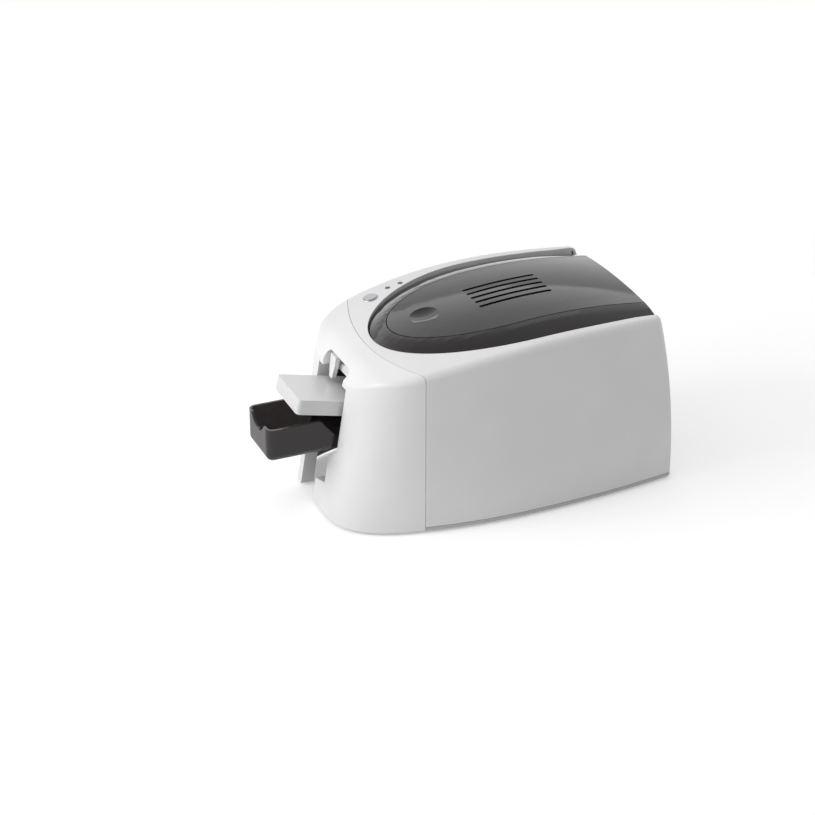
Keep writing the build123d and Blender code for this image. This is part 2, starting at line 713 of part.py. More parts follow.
tab_end = JAMB_DEPTH + JAMB_WALL + TAB_CLEAR + TAB_HEAD
with BuildPart() as gauge_tab:
    with BuildSketch(Plane.XZ.offset(-front_y(0))):
        with BuildLine():
            Polyline(
                (TAB_X, TAB_TOP),
                (TAB_X + TAB_WIDTH, TAB_TOP),
                (TAB_X + TAB_WIDTH, TAB_STEM_Z - TAB_STEM),
                (TAB_X + TAB_WIDTH / 2 + TAB_TIP / 2, TAB_FOOT),
                (TAB_X + TAB_WIDTH / 2 - TAB_TIP / 2, TAB_FOOT),
                (TAB_X, TAB_STEM_Z - TAB_STEM),
                close=True,
            )
        make_face()
    extrude(amount=-BELLY_HALF)
    add(lean_slab(TAB_FRONT, TAB_BACK), mode=Mode.INTERSECT)
    add(stem_block(TAB_STEM, TAB_STEM) & lean_slab(TAB_BACK, tab_end))
    add(stem_block(TAB_STEM + 4 * TAB_CLEAR, 2 * TAB_STEM) & lean_slab(tab_end - TAB_HEAD, tab_end))
gauge_tab.part.label = "gauge_tab"
export_step(gauge_tab.part, "parts/gauge_tab.step")

# ---------------------------------------------------------------------------------------------
# Base pan, feet, rear panel
# ---------------------------------------------------------------------------------------------
with BuildPart() as base_pan:
    with BuildSketch(Plane.XY.offset(FOOT_Z)):
        Rectangle(2 * BELLY_HALF, 2 * REAR_Y)
    extrude(amount=PAN_EDGE)
    add(outer, mode=Mode.INTERSECT)
    add(seam_zone(-SEAM_GAP / 2), mode=Mode.INTERSECT)
    with BuildSketch(Plane.XY.offset(pan_top)):
        with Locations((0, (MAIN_BOARD_FRONT_Y + MAIN_BOARD_REAR_Y) / 2)):
            with GridLocations(2 * (MAIN_BOARD_HALF - POST_INSET), MAIN_BOARD_REAR_Y - MAIN_BOARD_FRONT_Y
                               - 2 * POST_INSET, 2, 2):
                Circle(POST_R)
    extrude(amount=MAIN_BOARD_Z - pan_top)
base_pan.part.label = "base_pan"
export_step(base_pan.part, "parts/base_pan.step")

with BuildPart() as rubber_feet:
    with BuildSketch(Plane.XY):
        with Locations((0, (FOOT_FRONT_Y + FOOT_REAR_Y) / 2)):
            with GridLocations(2 * FOOT_X, FOOT_REAR_Y - FOOT_FRONT_Y, 2, 2):
                Circle(FOOT_R)
    extrude(amount=FOOT_Z)
rubber_feet.part.label = "rubber_feet"
export_step(rubber_feet.part, "parts/rubber_feet.step")

with BuildPart() as rear_panel:
    with BuildSketch(Plane.XZ.offset(-REAR_Y)):
        with Locations((0, (pan_top + REAR_OPEN_Z - PANEL_CLEAR) / 2)):
            Rectangle(2 * (PANEL_HALF - PANEL_CLEAR), REAR_OPEN_Z - PANEL_CLEAR - pan_top)
    extrude(amount=REAR_Y - HINGE_Y)
    add(shell, mode=Mode.INTERSECT)
    with BuildSketch(Plane.XZ.offset(-REAR_Y)):
        with Locations((0, VENT_Z)):
            with GridLocations(VENT_PITCH, VENT_HEIGHT, VENT_COUNT, 1):
                SlotOverall(VENT_HEIGHT, VENT_WIDTH, rotation=90)
        with Locations((INLET_X, SOCKET_Z)):
            Circle(INLET_R + PANEL_CLEAR)
        with Locations((DATA_X, SOCKET_Z)):
            Rectangle(DATA_WIDTH + 2 * PANEL_CLEAR, DATA_HEIGHT + 2 * PANEL_CLEAR)
        with Locations((LOCK_X, SOCKET_Z)):
            SlotOverall(LOCK_LENGTH, LOCK_WIDTH)
    extrude(amount=REAR_Y - HINGE_Y, mode=Mode.SUBTRACT)
rear_panel.part.label = "rear_panel"
export_step(rear_panel.part, "parts/rear_panel.step")

# ---------------------------------------------------------------------------------------------
# Lid
# ---------------------------------------------------------------------------------------------
under_lid = lid_prism(LID_WALL, 0, LID_APEX_Z) & rear_zone(LID_WALL)
with BuildPart() as lid_frame:
    add(lid_space)
    add(lid_dome(LID_WALL + LEDGE_WALL, LID_APEX_Z) & under_lid, mode=Mode.SUBTRACT)
    ledge_space = lid_dome(LID_WALL, 2 * LEDGE_WALL) & under_lid
    add(ledge_space - groove_prism(-LEDGE_WALL, 0, LID_APEX_Z), mode=Mode.SUBTRACT)
    add(groove_prism(LEDGE_WIDTH, 0, LID_APEX_Z) & rear_zone(LID_WALL), mode=Mode.SUBTRACT)
    add(groove_prism(0, 0, LID_APEX_Z + WALL) & lid_dome(-LID_WALL, 2 * LID_WALL), mode=Mode.SUBTRACT)
    add(lid_dome(SKIRT_DEPTH, LID_APEX_Z) & rear_zone(LID_WALL), mode=Mode.SUBTRACT)
    with BuildSketch(Plane.XY):
        with Locations((0, REAR_Y)):
            Rectangle(2 * BELLY_HALF, 2 * (REAR_Y - HINGE_Y))
    extrude(amount=REAR_SKIRT_Z, mode=Mode.SUBTRACT)
    add(knuckle_block(1))
    add(knuckle_block(-1))
    with BuildSketch(Plane.YZ.offset(-ear_in)):
        with Locations((HINGE_Y, HINGE_Z)):
            Circle(HINGE_PIN_R + RUN_CLEAR)
    extrude(amount=2 * ear_in, mode=Mode.SUBTRACT)
lid_frame.part.label = "lid_frame"
export_step(lid_frame.part, "parts/lid_frame.step")

dimple_slope = math.asin((LID_APEX_Y - DIMPLE_Y) / LID_LONG_R)
dimple_plane = Plane(
    origin=(0, DIMPLE_Y, lid_z(0, DIMPLE_Y)),
    x_dir=(1, 0, 0),
    z_dir=(0, -math.sin(dimple_slope), math.cos(dimple_slope)),
)
dimple_radius = (DIMPLE_R**2 + DIMPLE_DEPTH**2) / (2 * DIMPLE_DEPTH)
dimple_ball = dimple_plane.offset(dimple_radius - DIMPLE_DEPTH) * Sphere(dimple_radius, rotation=(0, -90, 0))

with BuildPart() as lid_panel:
    add(lid_space & lid_dome(0, LID_WALL) & groove_prism(GROOVE_GAP, 0, 2 * LID_APEX_Z))
    with BuildSketch(dimple_plane.offset(-DIMPLE_DEPTH - LID_WALL)):
        Circle(DIMPLE_R)
    extrude(amount=DIMPLE_DEPTH + LID_WALL / 2)
    add(dimple_ball, mode=Mode.SUBTRACT)
    with BuildSketch(Plane.XY.offset(BRACKET_TOP)):
        with Locations((0, (SLOT_FRONT_Y + SLOT_REAR_Y) / 2)):
            with GridLocations(SLOT_PITCH, SLOT_REAR_Y - SLOT_FRONT_Y, SLOT_COUNT, 1):
                SlotOverall(SLOT_REAR_Y - SLOT_FRONT_Y, SLOT_WIDTH, rotation=90)
    extrude(amount=2 * SKIRT_DEPTH, mode=Mode.SUBTRACT)
    add(panel_bosses())
lid_panel.part.label = "lid_panel"
export_step(lid_panel.part, "parts/lid_panel.step")

with BuildPart() as hinge_pins:
    with BuildSketch(Plane.YZ.offset(KNUCKLE_IN)):
        with Locations((HINGE_Y, HINGE_Z)):
            Circle(HINGE_PIN_R)
    extrude(amount=ear_in + EAR_WALL - KNUCKLE_IN)
    mirror(about=Plane.YZ)
hinge_pins.part.label = "hinge_pins"
export_step(hinge_pins.part, "parts/hinge_pins.step")

# ---------------------------------------------------------------------------------------------
# Button, its ring, the lights and the small board under them
# ---------------------------------------------------------------------------------------------
with BuildPart() as button_ring:
    with BuildSketch(button_plane.offset(RING_PROUD - RING_HEIGHT)):
        Circle(RING_R)
        Circle(BUTTON_R + BUTTON_CLEAR, mode=Mode.SUBTRACT)
    extrude(amount=RING_HEIGHT)
    chamfer(edges().group_by(Axis.Z)[-1], RING_PROUD / 2)
button_ring.part.label = "button_ring"
export_step(button_ring.part, "parts/button_ring.step")

button_top = RING_PROUD + BUTTON_PROUD
stem_plane = button_plane.offset(button_top - BUTTON_CAP)
switch_y = BUTTON_Y + BUTTON_REACH * math.sin(button_slope)
with BuildPart() as power_button:
    with BuildSketch(stem_plane):
        Circle(BUTTON_R)
    extrude(amount=BUTTON_CAP)
    fillet(edges().group_by(Axis.Z)[-1], BUTTON_ROUND)
    with BuildSketch(button_plane.offset(button_top - BUTTON_REACH)):
        Circle(BUTTON_STEM_R)
    extrude(amount=BUTTON_REACH - BUTTON_CAP)
power_button.part.label = "power_button"
export_step(power_button.part, "parts/power_button.step")

with BuildPart() as indicator_lights:
    with BuildSketch(Plane.XY.offset(SMALL_BOARD_Z + BOARD_WALL)):
        with Locations(*LIGHT_PLACES):
            Circle(LIGHT_R)
    extrude(amount=CREST_Z - SMALL_BOARD_Z)
    add(outer, mode=Mode.INTERSECT)
indicator_lights.part.label = "indicator_lights"
export_step(indicator_lights.part, "parts/indicator_lights.step")

with BuildPart() as small_board:
    with BuildSketch(Plane.XY.offset(SMALL_BOARD_Z)):
        middle = ((SMALL_BOARD_LEFT + SMALL_BOARD_RIGHT) / 2, (SMALL_BOARD_FRONT + SMALL_BOARD_REAR) / 2)
        with Locations(middle):
            Rectangle(SMALL_BOARD_RIGHT - SMALL_BOARD_LEFT, SMALL_BOARD_REAR - SMALL_BOARD_FRONT)
    extrude(amount=BOARD_WALL)
    with BuildSketch(Plane.XY.offset(SMALL_BOARD_Z + BOARD_WALL)):
        with Locations((BUTTON_X, switch_y)):
            Rectangle(SWITCH_SIZE, SWITCH_SIZE)
    extrude(amount=SWITCH_HEIGHT)
small_board.part.label = "small_board"
export_step(small_board.part, "parts/small_board.step")

# ---------------------------------------------------------------------------------------------
# Places of the mechanism's axes, as (y, z)
# ---------------------------------------------------------------------------------------------
tilt = math.radians(FEED_TILT)
feed_plane = Plane(origin=(0, FEED_Y, FEED_Z), x_dir=(-1, 0, 0), z_dir=(0, math.cos(tilt), -math.sin(tilt)))


def feeder_point(along, up):
    """(y, z) of a point along the feeder's floor and above it."""
    return (
        FEED_Y + along * math.cos(tilt) + up * math.sin(tilt),
        FEED_Z - along * math.sin(tilt) + up * math.cos(tilt),
    )


def polar_point(centre, radius, angle):
    """(y, z) at radius and angle, in degrees, from a centre."""
    return (
        centre[0] + radius * math.cos(math.radians(angle)),
        centre[1] + radius * math.sin(math.radians(angle)),
    )


def bearing(start, end):
    """Direction from start to end, in degrees."""
    return math.degrees(math.atan2(end[1] - start[1], end[0] - start[0]))


def meet(start, end, start_r, end_r, side):
    """(y, z) at distance start_r from start and end_r from end, left (1) or right (-1) of the line."""
    span = math.dist(start, end)
    along = (span**2 + start_r**2 - end_r**2) / (2 * span)
    angle = side * math.degrees(math.acos(along / start_r))
    return polar_point(start, start_r, bearing(start, end) + angle)


def pitch_sum(first, second):
    """Distance between the axes of two gears in mesh."""
    return GEAR_MODULE * (first + second) / 2


def mesh_phase(centre, teeth, phase, other, other_teeth):
    """Angle of a tooth of the other gear that puts its gap round a tooth of the first gear."""
    line = bearing(centre, other)
    share_of_pitch = (phase - line) * teeth / 360 + 1 / 2
    return line + 180 - share_of_pitch * 360 / other_teeth


def gear_sketch(teeth, centre, phase, bore_r, start_x):
    """Gear outline with its bore, on the plane x = start_x."""
    pitch_r = GEAR_MODULE * teeth / 2
    root_r = pitch_r - GEAR_DEDENDUM * GEAR_MODULE
    tip_r = pitch_r + GEAR_ADDENDUM * GEAR_MODULE
    half = (math.pi * GEAR_MODULE / 2 - GEAR_BACKLASH / 2) / 2
    points = []
    for k in range(teeth):
        middle = phase + k * 360 / teeth
        root = math.degrees((half + (pitch_r - root_r) * GEAR_FLANK) / root_r)
        tip = math.degrees((half - (tip_r - pitch_r) * GEAR_FLANK) / tip_r)
        points.append(polar_point(centre, root_r, middle - root))
        points.append(polar_point(centre, tip_r, middle - tip))
        points.append(polar_point(centre, tip_r, middle + tip))
        points.append(polar_point(centre, root_r, middle + root))
    with BuildSketch(Plane.YZ.offset(start_x)) as outline:
        with BuildLine():
            Polyline(*points, close=True)
        make_face()
        with Locations(centre):
            Circle(bore_r, mode=Mode.SUBTRACT)
    return outline.sketch


def gear(teeth, centre, phase, bore_r, start_x, width=GEAR_WIDTH):
    """Spur gear with a bore, from start_x outwards."""
    with BuildPart() as wheel:
        add(gear_sketch(teeth, centre, phase, bore_r, start_x))
        extrude(amount=width, dir=(1, 0, 0))
    return wheel.part


def rod(centre, radius, start_x, end_x):
    """Round bar along x."""
    with BuildPart() as bar:
        with BuildSketch(Plane.YZ.offset(start_x)):
            with Locations(centre):
                Circle(radius)
        extrude(amount=end_x - start_x)
    return bar.part


def tube(centre, radius, bore_r, start_x, end_x):
    """Round tube along x."""
    with BuildPart() as sleeve:
        with BuildSketch(Plane.YZ.offset(start_x)):
            with Locations(centre):
                Circle(radius)
                Circle(bore_r, mode=Mode.SUBTRACT)
        extrude(amount=end_x - start_x)
    return sleeve.part


plate_out = PLATE_IN + PLATE_WALL
gear_out = GEAR_IN + GEAR_WIDTH
second_in = GEAR_IN + GEAR_ROW
second_out = second_in + GEAR_WIDTH
short_end = plate_out + BUSH_FLANGE
idler_bore = PIN_R + RUN_CLEAR

platen_at = (PLATEN_Y, PATH_Z - ROLLER_SINK - PLATEN_R)
transport_at = (TRANSPORT_Y, PATH_Z - ROLLER_SINK - TRANSPORT_R)
cleaning_at = (TRANSPORT_Y, PATH_Z - ROLLER_SINK + NIP + TRANSPORT_R)
feed_at = feeder_point(FEED_S, STACK_FLOAT - ROLLER_SINK - FEED_R - FEED_CLEAR)
exit_at = polar_point(feed_at, pitch_sum(ROLLER_TEETH, EXIT_TEETH), EXIT_ANGLE)
link_reach = pitch_sum(ROLLER_TEETH, LINK_TEETH)
link_at = meet(transport_at, platen_at, link_reach, link_reach, -1)
feed_link_at = meet(feed_at, transport_at, pitch_sum(ROLLER_TEETH, FEED_LINK_TEETH),
                    pitch_sum(ROLLER_TEETH, FEED_LINK_TEETH), -1)
take_up_at = (TAKE_UP_Y, TAKE_UP_Z)
supply_at = (SUPPLY_Y, SUPPLY_Z)
take_up_link_at = meet(transport_at, take_up_at, pitch_sum(ROLLER_TEETH, TAKE_UP_LINK_TEETH),
                       pitch_sum(TAKE_UP_TEETH, TAKE_UP_LINK_TEETH), -1)
reduction_at = polar_point(platen_at, pitch_sum(ROLLER_TEETH, SMALL_TEETH), BIG_ANGLE)
motor_at = polar_point(reduction_at, pitch_sum(BIG_TEETH, PINION_TEETH), MOTOR_ANGLE)

platen_phase = 0
link_phase = mesh_phase(platen_at, ROLLER_TEETH, platen_phase, link_at, LINK_TEETH)
transport_phase = mesh_phase(link_at, LINK_TEETH, link_phase, transport_at, ROLLER_TEETH)
feed_link_phase = mesh_phase(transport_at, ROLLER_TEETH, transport_phase, feed_link_at, FEED_LINK_TEETH)
feed_phase = mesh_phase(feed_link_at, FEED_LINK_TEETH, feed_link_phase, feed_at, ROLLER_TEETH)
exit_phase = mesh_phase(feed_at, ROLLER_TEETH, feed_phase, exit_at, EXIT_TEETH)
take_up_link_phase = mesh_phase(
    transport_at, ROLLER_TEETH, transport_phase, take_up_link_at, TAKE_UP_LINK_TEETH
)
take_up_phase = mesh_phase(take_up_link_at, TAKE_UP_LINK_TEETH, take_up_link_phase, take_up_at, TAKE_UP_TEETH)
small_phase = mesh_phase(platen_at, ROLLER_TEETH, platen_phase, reduction_at, SMALL_TEETH)
pinion_phase = mesh_phase(reduction_at, BIG_TEETH, 0, motor_at, PINION_TEETH)

# ---------------------------------------------------------------------------------------------
# Side plates, bushes and the idlers' pins
# ---------------------------------------------------------------------------------------------
bush_r = SHAFT_R + RUN_CLEAR + BUSH_WALL
plate_outline = (
    (PLATE_FRONT_FOOT_Y, pan_top),
    (TRACK_REAR_Y, pan_top),
    (TRACK_REAR_Y, PLATE_DECK_Z),
    (SUPPLY_Y + SPOOL_HORN, PLATE_DECK_Z),
    (SUPPLY_Y + SPOOL_HORN - HORN_DRAFT, SUPPLY_Z + HORN_RISE),
    (SUPPLY_Y - SPOOL_HORN + HORN_DRAFT, SUPPLY_Z + HORN_RISE),
    (SUPPLY_Y - SPOOL_HORN, PLATE_DECK_Z),
    (TAKE_UP_Y + SPOOL_HORN, PLATE_DECK_Z),
    (TAKE_UP_Y + SPOOL_HORN - HORN_DRAFT, TAKE_UP_Z + HORN_RISE),
    (TAKE_UP_Y - SPOOL_HORN + HORN_DRAFT, TAKE_UP_Z + HORN_RISE),
    (TAKE_UP_Y - SPOOL_HORN, PLATE_DECK_Z),
    (PLATE_FRONT_Y, PLATE_DECK_Z),
    (PLATE_FRONT_Y, PLATE_STEP_Z),
    (PLATE_FRONT_FOOT_Y, PLATE_STEP_Z),
)


def side_plate(start_x):
    """Sheet metal side plate with its bush holes and the open slots of the ribbon spools."""
    with BuildPart() as plate:
        with BuildSketch(Plane.YZ.offset(start_x)):
            with BuildLine():
                Polyline(*plate_outline, close=True)
            make_face()
            with Locations(platen_at, transport_at, cleaning_at, feed_at, exit_at):
                Circle(bush_r, mode=Mode.SUBTRACT)
            with Locations(supply_at, take_up_at):
                Circle(SPOOL_STUB_R + RUN_CLEAR, mode=Mode.SUBTRACT)
            with Locations((SUPPLY_Y, SUPPLY_Z + HORN_RISE / 2), (TAKE_UP_Y, TAKE_UP_Z + HORN_RISE / 2)):
                Rectangle(2 * (SPOOL_STUB_R + RUN_CLEAR), HORN_RISE, mode=Mode.SUBTRACT)
            if start_x > 0:
                with Locations(motor_at):
                    Circle(MOTOR_HOLE_R, mode=Mode.SUBTRACT)
        extrude(amount=PLATE_WALL)
    return plate.part


right_side_plate = side_plate(PLATE_IN)
right_side_plate.label = "right_side_plate"
export_step(right_side_plate, "parts/right_side_plate.step")

left_side_plate = side_plate(-plate_out)
left_side_plate.label = "left_side_plate"
export_step(left_side_plate, "parts/left_side_plate.step")

with BuildPart() as shaft_bushes:
    for at in (platen_at, transport_at, cleaning_at, feed_at, exit_at):
        add(tube(at, bush_r, SHAFT_R + RUN_CLEAR, PLATE_IN, plate_out))
        add(tube(at, bush_r + BUSH_LIP, SHAFT_R + RUN_CLEAR, PLATE_IN - BUSH_FLANGE, PLATE_IN))
    mirror(about=Plane.YZ)
shaft_bushes.part.label = "shaft_bushes"
export_step(shaft_bushes.part, "parts/shaft_bushes.step")

with BuildPart() as gear_pins:
    for at in (link_at, feed_link_at, take_up_link_at):
        add(rod(at, PIN_R, plate_out, gear_out + BUSH_FLANGE / 2))
    add(rod(reduction_at, PIN_R, plate_out, second_out + BUSH_FLANGE / 2))
gear_pins.part.label = "gear_pins"
export_step(gear_pins.part, "parts/gear_pins.step")

# ---------------------------------------------------------------------------------------------
# Rollers: shaft, rubber sleeve and gear
# ---------------------------------------------------------------------------------------------
platen_shaft = rod(platen_at, SHAFT_R, -short_end, gear_out)
platen_shaft.label = "platen_shaft"
export_step(platen_shaft, "parts/platen_shaft.step")

platen_rubber = tube(platen_at, PLATEN_R, SHAFT_R, -ROLLER_END, ROLLER_END)
platen_rubber.label = "platen_rubber"
export_step(platen_rubber, "parts/platen_rubber.step")

platen_gear = gear(ROLLER_TEETH, platen_at, platen_phase, SHAFT_R, GEAR_IN)
platen_gear.label = "platen_gear"
export_step(platen_gear, "parts/platen_gear.step")

transport_shaft = rod(transport_at, SHAFT_R, -short_end, gear_out)
transport_shaft.label = "transport_shaft"
export_step(transport_shaft, "parts/transport_shaft.step")

transport_rubber = tube(transport_at, TRANSPORT_R, SHAFT_R, -ROLLER_END, ROLLER_END)
transport_rubber.label = "transport_rubber"
export_step(transport_rubber, "parts/transport_rubber.step")

transport_gear = gear(ROLLER_TEETH, transport_at, transport_phase, SHAFT_R, GEAR_IN)
transport_gear.label = "transport_gear"
export_step(transport_gear, "parts/transport_gear.step")

feed_shaft = rod(feed_at, SHAFT_R, -short_end, gear_out)
feed_shaft.label = "feed_shaft"
export_step(feed_shaft, "parts/feed_shaft.step")

feed_rubber = tube(feed_at, FEED_R, SHAFT_R, -NARROW_END, NARROW_END)
feed_rubber.label = "feed_rubber"
export_step(feed_rubber, "parts/feed_rubber.step")

feed_gear = gear(ROLLER_TEETH, feed_at, feed_phase, SHAFT_R, GEAR_IN)
feed_gear.label = "feed_gear"
export_step(feed_gear, "parts/feed_gear.step")

exit_shaft = rod(exit_at, SHAFT_R, -short_end, gear_out)
exit_shaft.label = "exit_shaft"
export_step(exit_shaft, "parts/exit_shaft.step")

exit_rubber = tube(exit_at, EXIT_R, SHAFT_R, -NARROW_END, NARROW_END)
exit_rubber.label = "exit_rubber"
export_step(exit_rubber, "parts/exit_rubber.step")

exit_gear = gear(EXIT_TEETH, exit_at, exit_phase, SHAFT_R, GEAR_IN)
exit_gear.label = "exit_gear"
export_step(exit_gear, "parts/exit_gear.step")

with BuildPart() as cleaning_roller:
    add(rod(cleaning_at, SHAFT_R, -short_end, short_end))
    add(rod(cleaning_at, TRANSPORT_R, -ROLLER_END, ROLLER_END))
cleaning_roller.part.label = "cleaning_roller"
export_step(cleaning_roller.part, "parts/cleaning_roller.step")

link_gear = gear(LINK_TEETH, link_at, link_phase, idler_bore, GEAR_IN)
link_gear.label = "link_gear"
export_step(link_gear, "parts/link_gear.step")

feed_link_gear = gear(FEED_LINK_TEETH, feed_link_at, feed_link_phase, idler_bore, GEAR_IN)
feed_link_gear.label = "feed_link_gear"
export_step(feed_link_gear, "parts/feed_link_gear.step")

take_up_link_gear = gear(TAKE_UP_LINK_TEETH, take_up_link_at, take_up_link_phase, idler_bore, GEAR_IN)
take_up_link_gear.label = "take_up_link_gear"
export_step(take_up_link_gear, "parts/take_up_link_gear.step")

with BuildPart() as reduction_gear:
    add(gear(SMALL_TEETH, reduction_at, small_phase, idler_bore, GEAR_IN, GEAR_ROW))
    add(gear(BIG_TEETH, reduction_at, 0, idler_bore, second_in))
reduction_gear.part.label = "reduction_gear"
export_step(reduction_gear.part, "parts/reduction_gear.step")

with BuildPart() as stepper_motor:
    with BuildSketch(Plane.YZ.offset(PLATE_IN - MOTOR_LENGTH)):
        with Locations(motor_at):
            Circle(MOTOR_R)
    extrude(amount=MOTOR_LENGTH)
    add(rod(motor_at, MOTOR_HOLE_R, PLATE_IN, plate_out))
    add(rod(motor_at, MOTOR_SHAFT_R + RUN_CLEAR, PLATE_IN - MOTOR_LENGTH / 2, plate_out), mode=Mode.SUBTRACT)
stepper_motor.part.label = "stepper_motor"
export_step(stepper_motor.part, "parts/stepper_motor.step")

with BuildPart() as motor_pinion:
    add(gear(PINION_TEETH, motor_at, pinion_phase, MOTOR_SHAFT_R, second_in))
    add(rod(motor_at, MOTOR_SHAFT_R, PLATE_IN - MOTOR_LENGTH / 2 + SEAM_GAP, second_out))
motor_pinion.part.label = "motor_pinion"
export_step(motor_pinion.part, "parts/motor_pinion.step")

# ---------------------------------------------------------------------------------------------
# Card feeder, gate and card guides
# ---------------------------------------------------------------------------------------------
feeder_half = CARD_WIDTH / 2 + FEEDER_CLEAR
feeder_out = feeder_half + FEEDER_WALL
with BuildPart() as card_feeder:
    with BuildSketch(feed_plane.offset(FEEDER_START)):
        with Locations((0, (FEEDER_SIDE - FEEDER_FLOOR) / 2)):
            Rectangle(2 * feeder_out, FEEDER_SIDE + FEEDER_FLOOR)
        with Locations((0, FEEDER_SIDE / 2)):
            Rectangle(2 * feeder_half, FEEDER_SIDE, mode=Mode.SUBTRACT)
    extrude(amount=FEEDER_END - FEEDER_START)
    for start in (FEEDER_START + FEEDER_TAB / 2, FEEDER_END - 2 * FEEDER_TAB):
        with BuildSketch(feed_plane.offset(start)):
            with Locations((0, FEEDER_SIDE / 4)):
                with GridLocations(feeder_half + PLATE_IN, 0, 2, 1):
                    Rectangle(PLATE_IN - feeder_half, FEEDER_SIDE / 2)
        extrude(amount=FEEDER_TAB)
    with BuildSketch(feed_plane.offset(FEED_S - FEED_R - SLOT_CLEAR)):
        Rectangle(2 * (NARROW_END + SLOT_CLEAR), 3 * FEEDER_FLOOR)
    extrude(amount=2 * (FEED_R + SLOT_CLEAR), mode=Mode.SUBTRACT)
card_feeder.part.label = "card_feeder"
export_step(card_feeder.part, "parts/card_feeder.step")

with BuildPart() as feeder_gate:
    with BuildSketch(feed_plane.offset(FEEDER_END - GATE_WALL)):
        with Locations((0, (GATE_SLIT + GATE_TOP) / 2)):
            Rectangle(2 * feeder_half, GATE_TOP - GATE_SLIT)
    extrude(amount=GATE_WALL)
feeder_gate.part.label = "feeder_gate"
export_step(feeder_gate.part, "parts/feeder_gate.step")

with BuildPart() as card_stack:
    with BuildSketch(feed_plane.offset(STACK_FRONT_S)):
        with Locations((0, STACK_FLOAT + STACK_COUNT * CARD_WALL / 2)):
            Rectangle(CARD_WIDTH, STACK_COUNT * CARD_WALL)
    extrude(amount=CARD_LENGTH)
    corners = edges().filter_by(lambda edge: abs(edge.length - STACK_COUNT * CARD_WALL) < CARD_WALL)
    fillet(corners, CARD_CORNER_R)
card_stack.part.label = "card_stack"
export_step(card_stack.part, "parts/card_stack.step")

return_slope = math.tan(math.radians(RETURN_TILT))
return_z = PATH_Z - SHEET_DROP
with BuildPart() as return_guide:
    with BuildSketch(Plane.YZ.offset(-PLATE_IN)):
        with BuildLine():
            Polyline(
                (RETURN_REAR_Y, return_z),
                (RETURN_REAR_Y, return_z - SHEET),
                (RETURN_FRONT_Y, return_z - SHEET - (RETURN_REAR_Y - RETURN_FRONT_Y) * return_slope),
                (RETURN_FRONT_Y, return_z - (RETURN_REAR_Y - RETURN_FRONT_Y) * return_slope),
                close=True,
            )
        make_face()
    extrude(amount=2 * PLATE_IN)
    with BuildSketch(Plane.XY.offset(PLATE_STEP_Z)):
        with Locations((0, exit_at[0])):
            Rectangle(2 * (NARROW_END + SLOT_CLEAR), 2 * (EXIT_R + SLOT_CLEAR))
    extrude(amount=PATH_Z - PLATE_STEP_Z, mode=Mode.SUBTRACT)
return_guide.part.label = "return_guide"
export_step(return_guide.part, "parts/return_guide.step")

with BuildPart() as track_guide:
    with BuildSketch(Plane.XY.offset(return_z - SHEET)):
        with Locations((0, (TRACK_FRONT_Y + TRACK_REAR_Y) / 2)):
            Rectangle(2 * PLATE_IN, TRACK_REAR_Y - TRACK_FRONT_Y)
        with Locations((0, PLATEN_Y)):
            Rectangle(2 * (ROLLER_END + SLOT_CLEAR), 2 * (PLATEN_R + SLOT_CLEAR), mode=Mode.SUBTRACT)
    extrude(amount=SHEET)
track_guide.part.label = "track_guide"
export_step(track_guide.part, "parts/track_guide.step")

# ---------------------------------------------------------------------------------------------
# Output tray and its guide
# ---------------------------------------------------------------------------------------------
tray_rear_top = TRAY_STEP_Y - (TRAY_TOP_Z - TRAY_LOW_Z) / math.tan(math.radians(TRAY_SLOPE))


def tray_profile():
    """Side view of the tray."""
    with BuildSketch(Plane.YZ.offset(-TRAY_HALF)) as view:
        with BuildLine():
            Polyline(
                (TRAY_FRONT_Y, TRAY_FLOOR_Z),
                (TRAY_REAR_Y, TRAY_FLOOR_Z),
                (TRAY_REAR_Y, TRAY_LOW_Z),
                (TRAY_STEP_Y, TRAY_LOW_Z),
                (tray_rear_top, TRAY_TOP_Z),
                (TRAY_FRONT_Y, TRAY_TOP_Z),
                close=True,
            )
        make_face()
        fillet(vertices().group_by(Axis.X)[0].sort_by(Axis.Y)[0], TRAY_ROUND)
    return view.sketch


with BuildPart() as tray_space:
    with BuildSketch(Plane.YZ.offset(TRAY_WALL - TRAY_HALF)):
        with BuildLine():
            Polyline(
                (TRAY_FRONT_Y + TRAY_WALL, TRAY_FLOOR_Z + TRAY_WALL),
                (0, TRAY_FLOOR_Z + TRAY_WALL),
                (0, TRAY_TOP_Z + TRAY_WALL),
                (TRAY_FRONT_Y + TRAY_WALL, TRAY_TOP_Z + TRAY_WALL),
                close=True,
            )
        make_face()
        fillet(vertices().group_by(Axis.X)[0].sort_by(Axis.Y)[0], TRAY_ROUND - TRAY_WALL)
    extrude(amount=2 * (TRAY_HALF - TRAY_WALL))
    fillet(edges().filter_by(Axis.Z).group_by(Axis.Y)[0], TRAY_CORNER_R - TRAY_WALL)

with BuildPart() as output_tray:
    add(tray_profile())
    extrude(amount=2 * TRAY_HALF, dir=(1, 0, 0))
    fillet(edges().filter_by(Axis.Z).group_by(Axis.Y)[0], TRAY_CORNER_R)
    add(tray_space.part, mode=Mode.SUBTRACT)
    with BuildSketch(Plane.XZ.offset(-TRAY_FRONT_Y)):
        with Locations((0, TRAY_TOP_Z + SCOOP_R - SCOOP_DEPTH)):
            Circle(SCOOP_R)
    extrude(amount=-TRAY_CORNER_R, mode=Mode.SUBTRACT)
    for x in (-RAMP_X, 0, RAMP_X):
        with BuildSketch(Plane.YZ.offset(x - RAMP_WALL / 2)):
            with BuildLine():
                Polyline(
                    (RAMP_FRONT_Y, TRAY_FLOOR_Z + TRAY_WALL),
                    (RAMP_REAR_Y, TRAY_FLOOR_Z + TRAY_WALL),
                    (RAMP_REAR_Y, TRAY_FLOOR_Z + TRAY_WALL + RAMP_RISE),
                    close=True,
                )
            make_face()
        extrude(amount=RAMP_WALL)
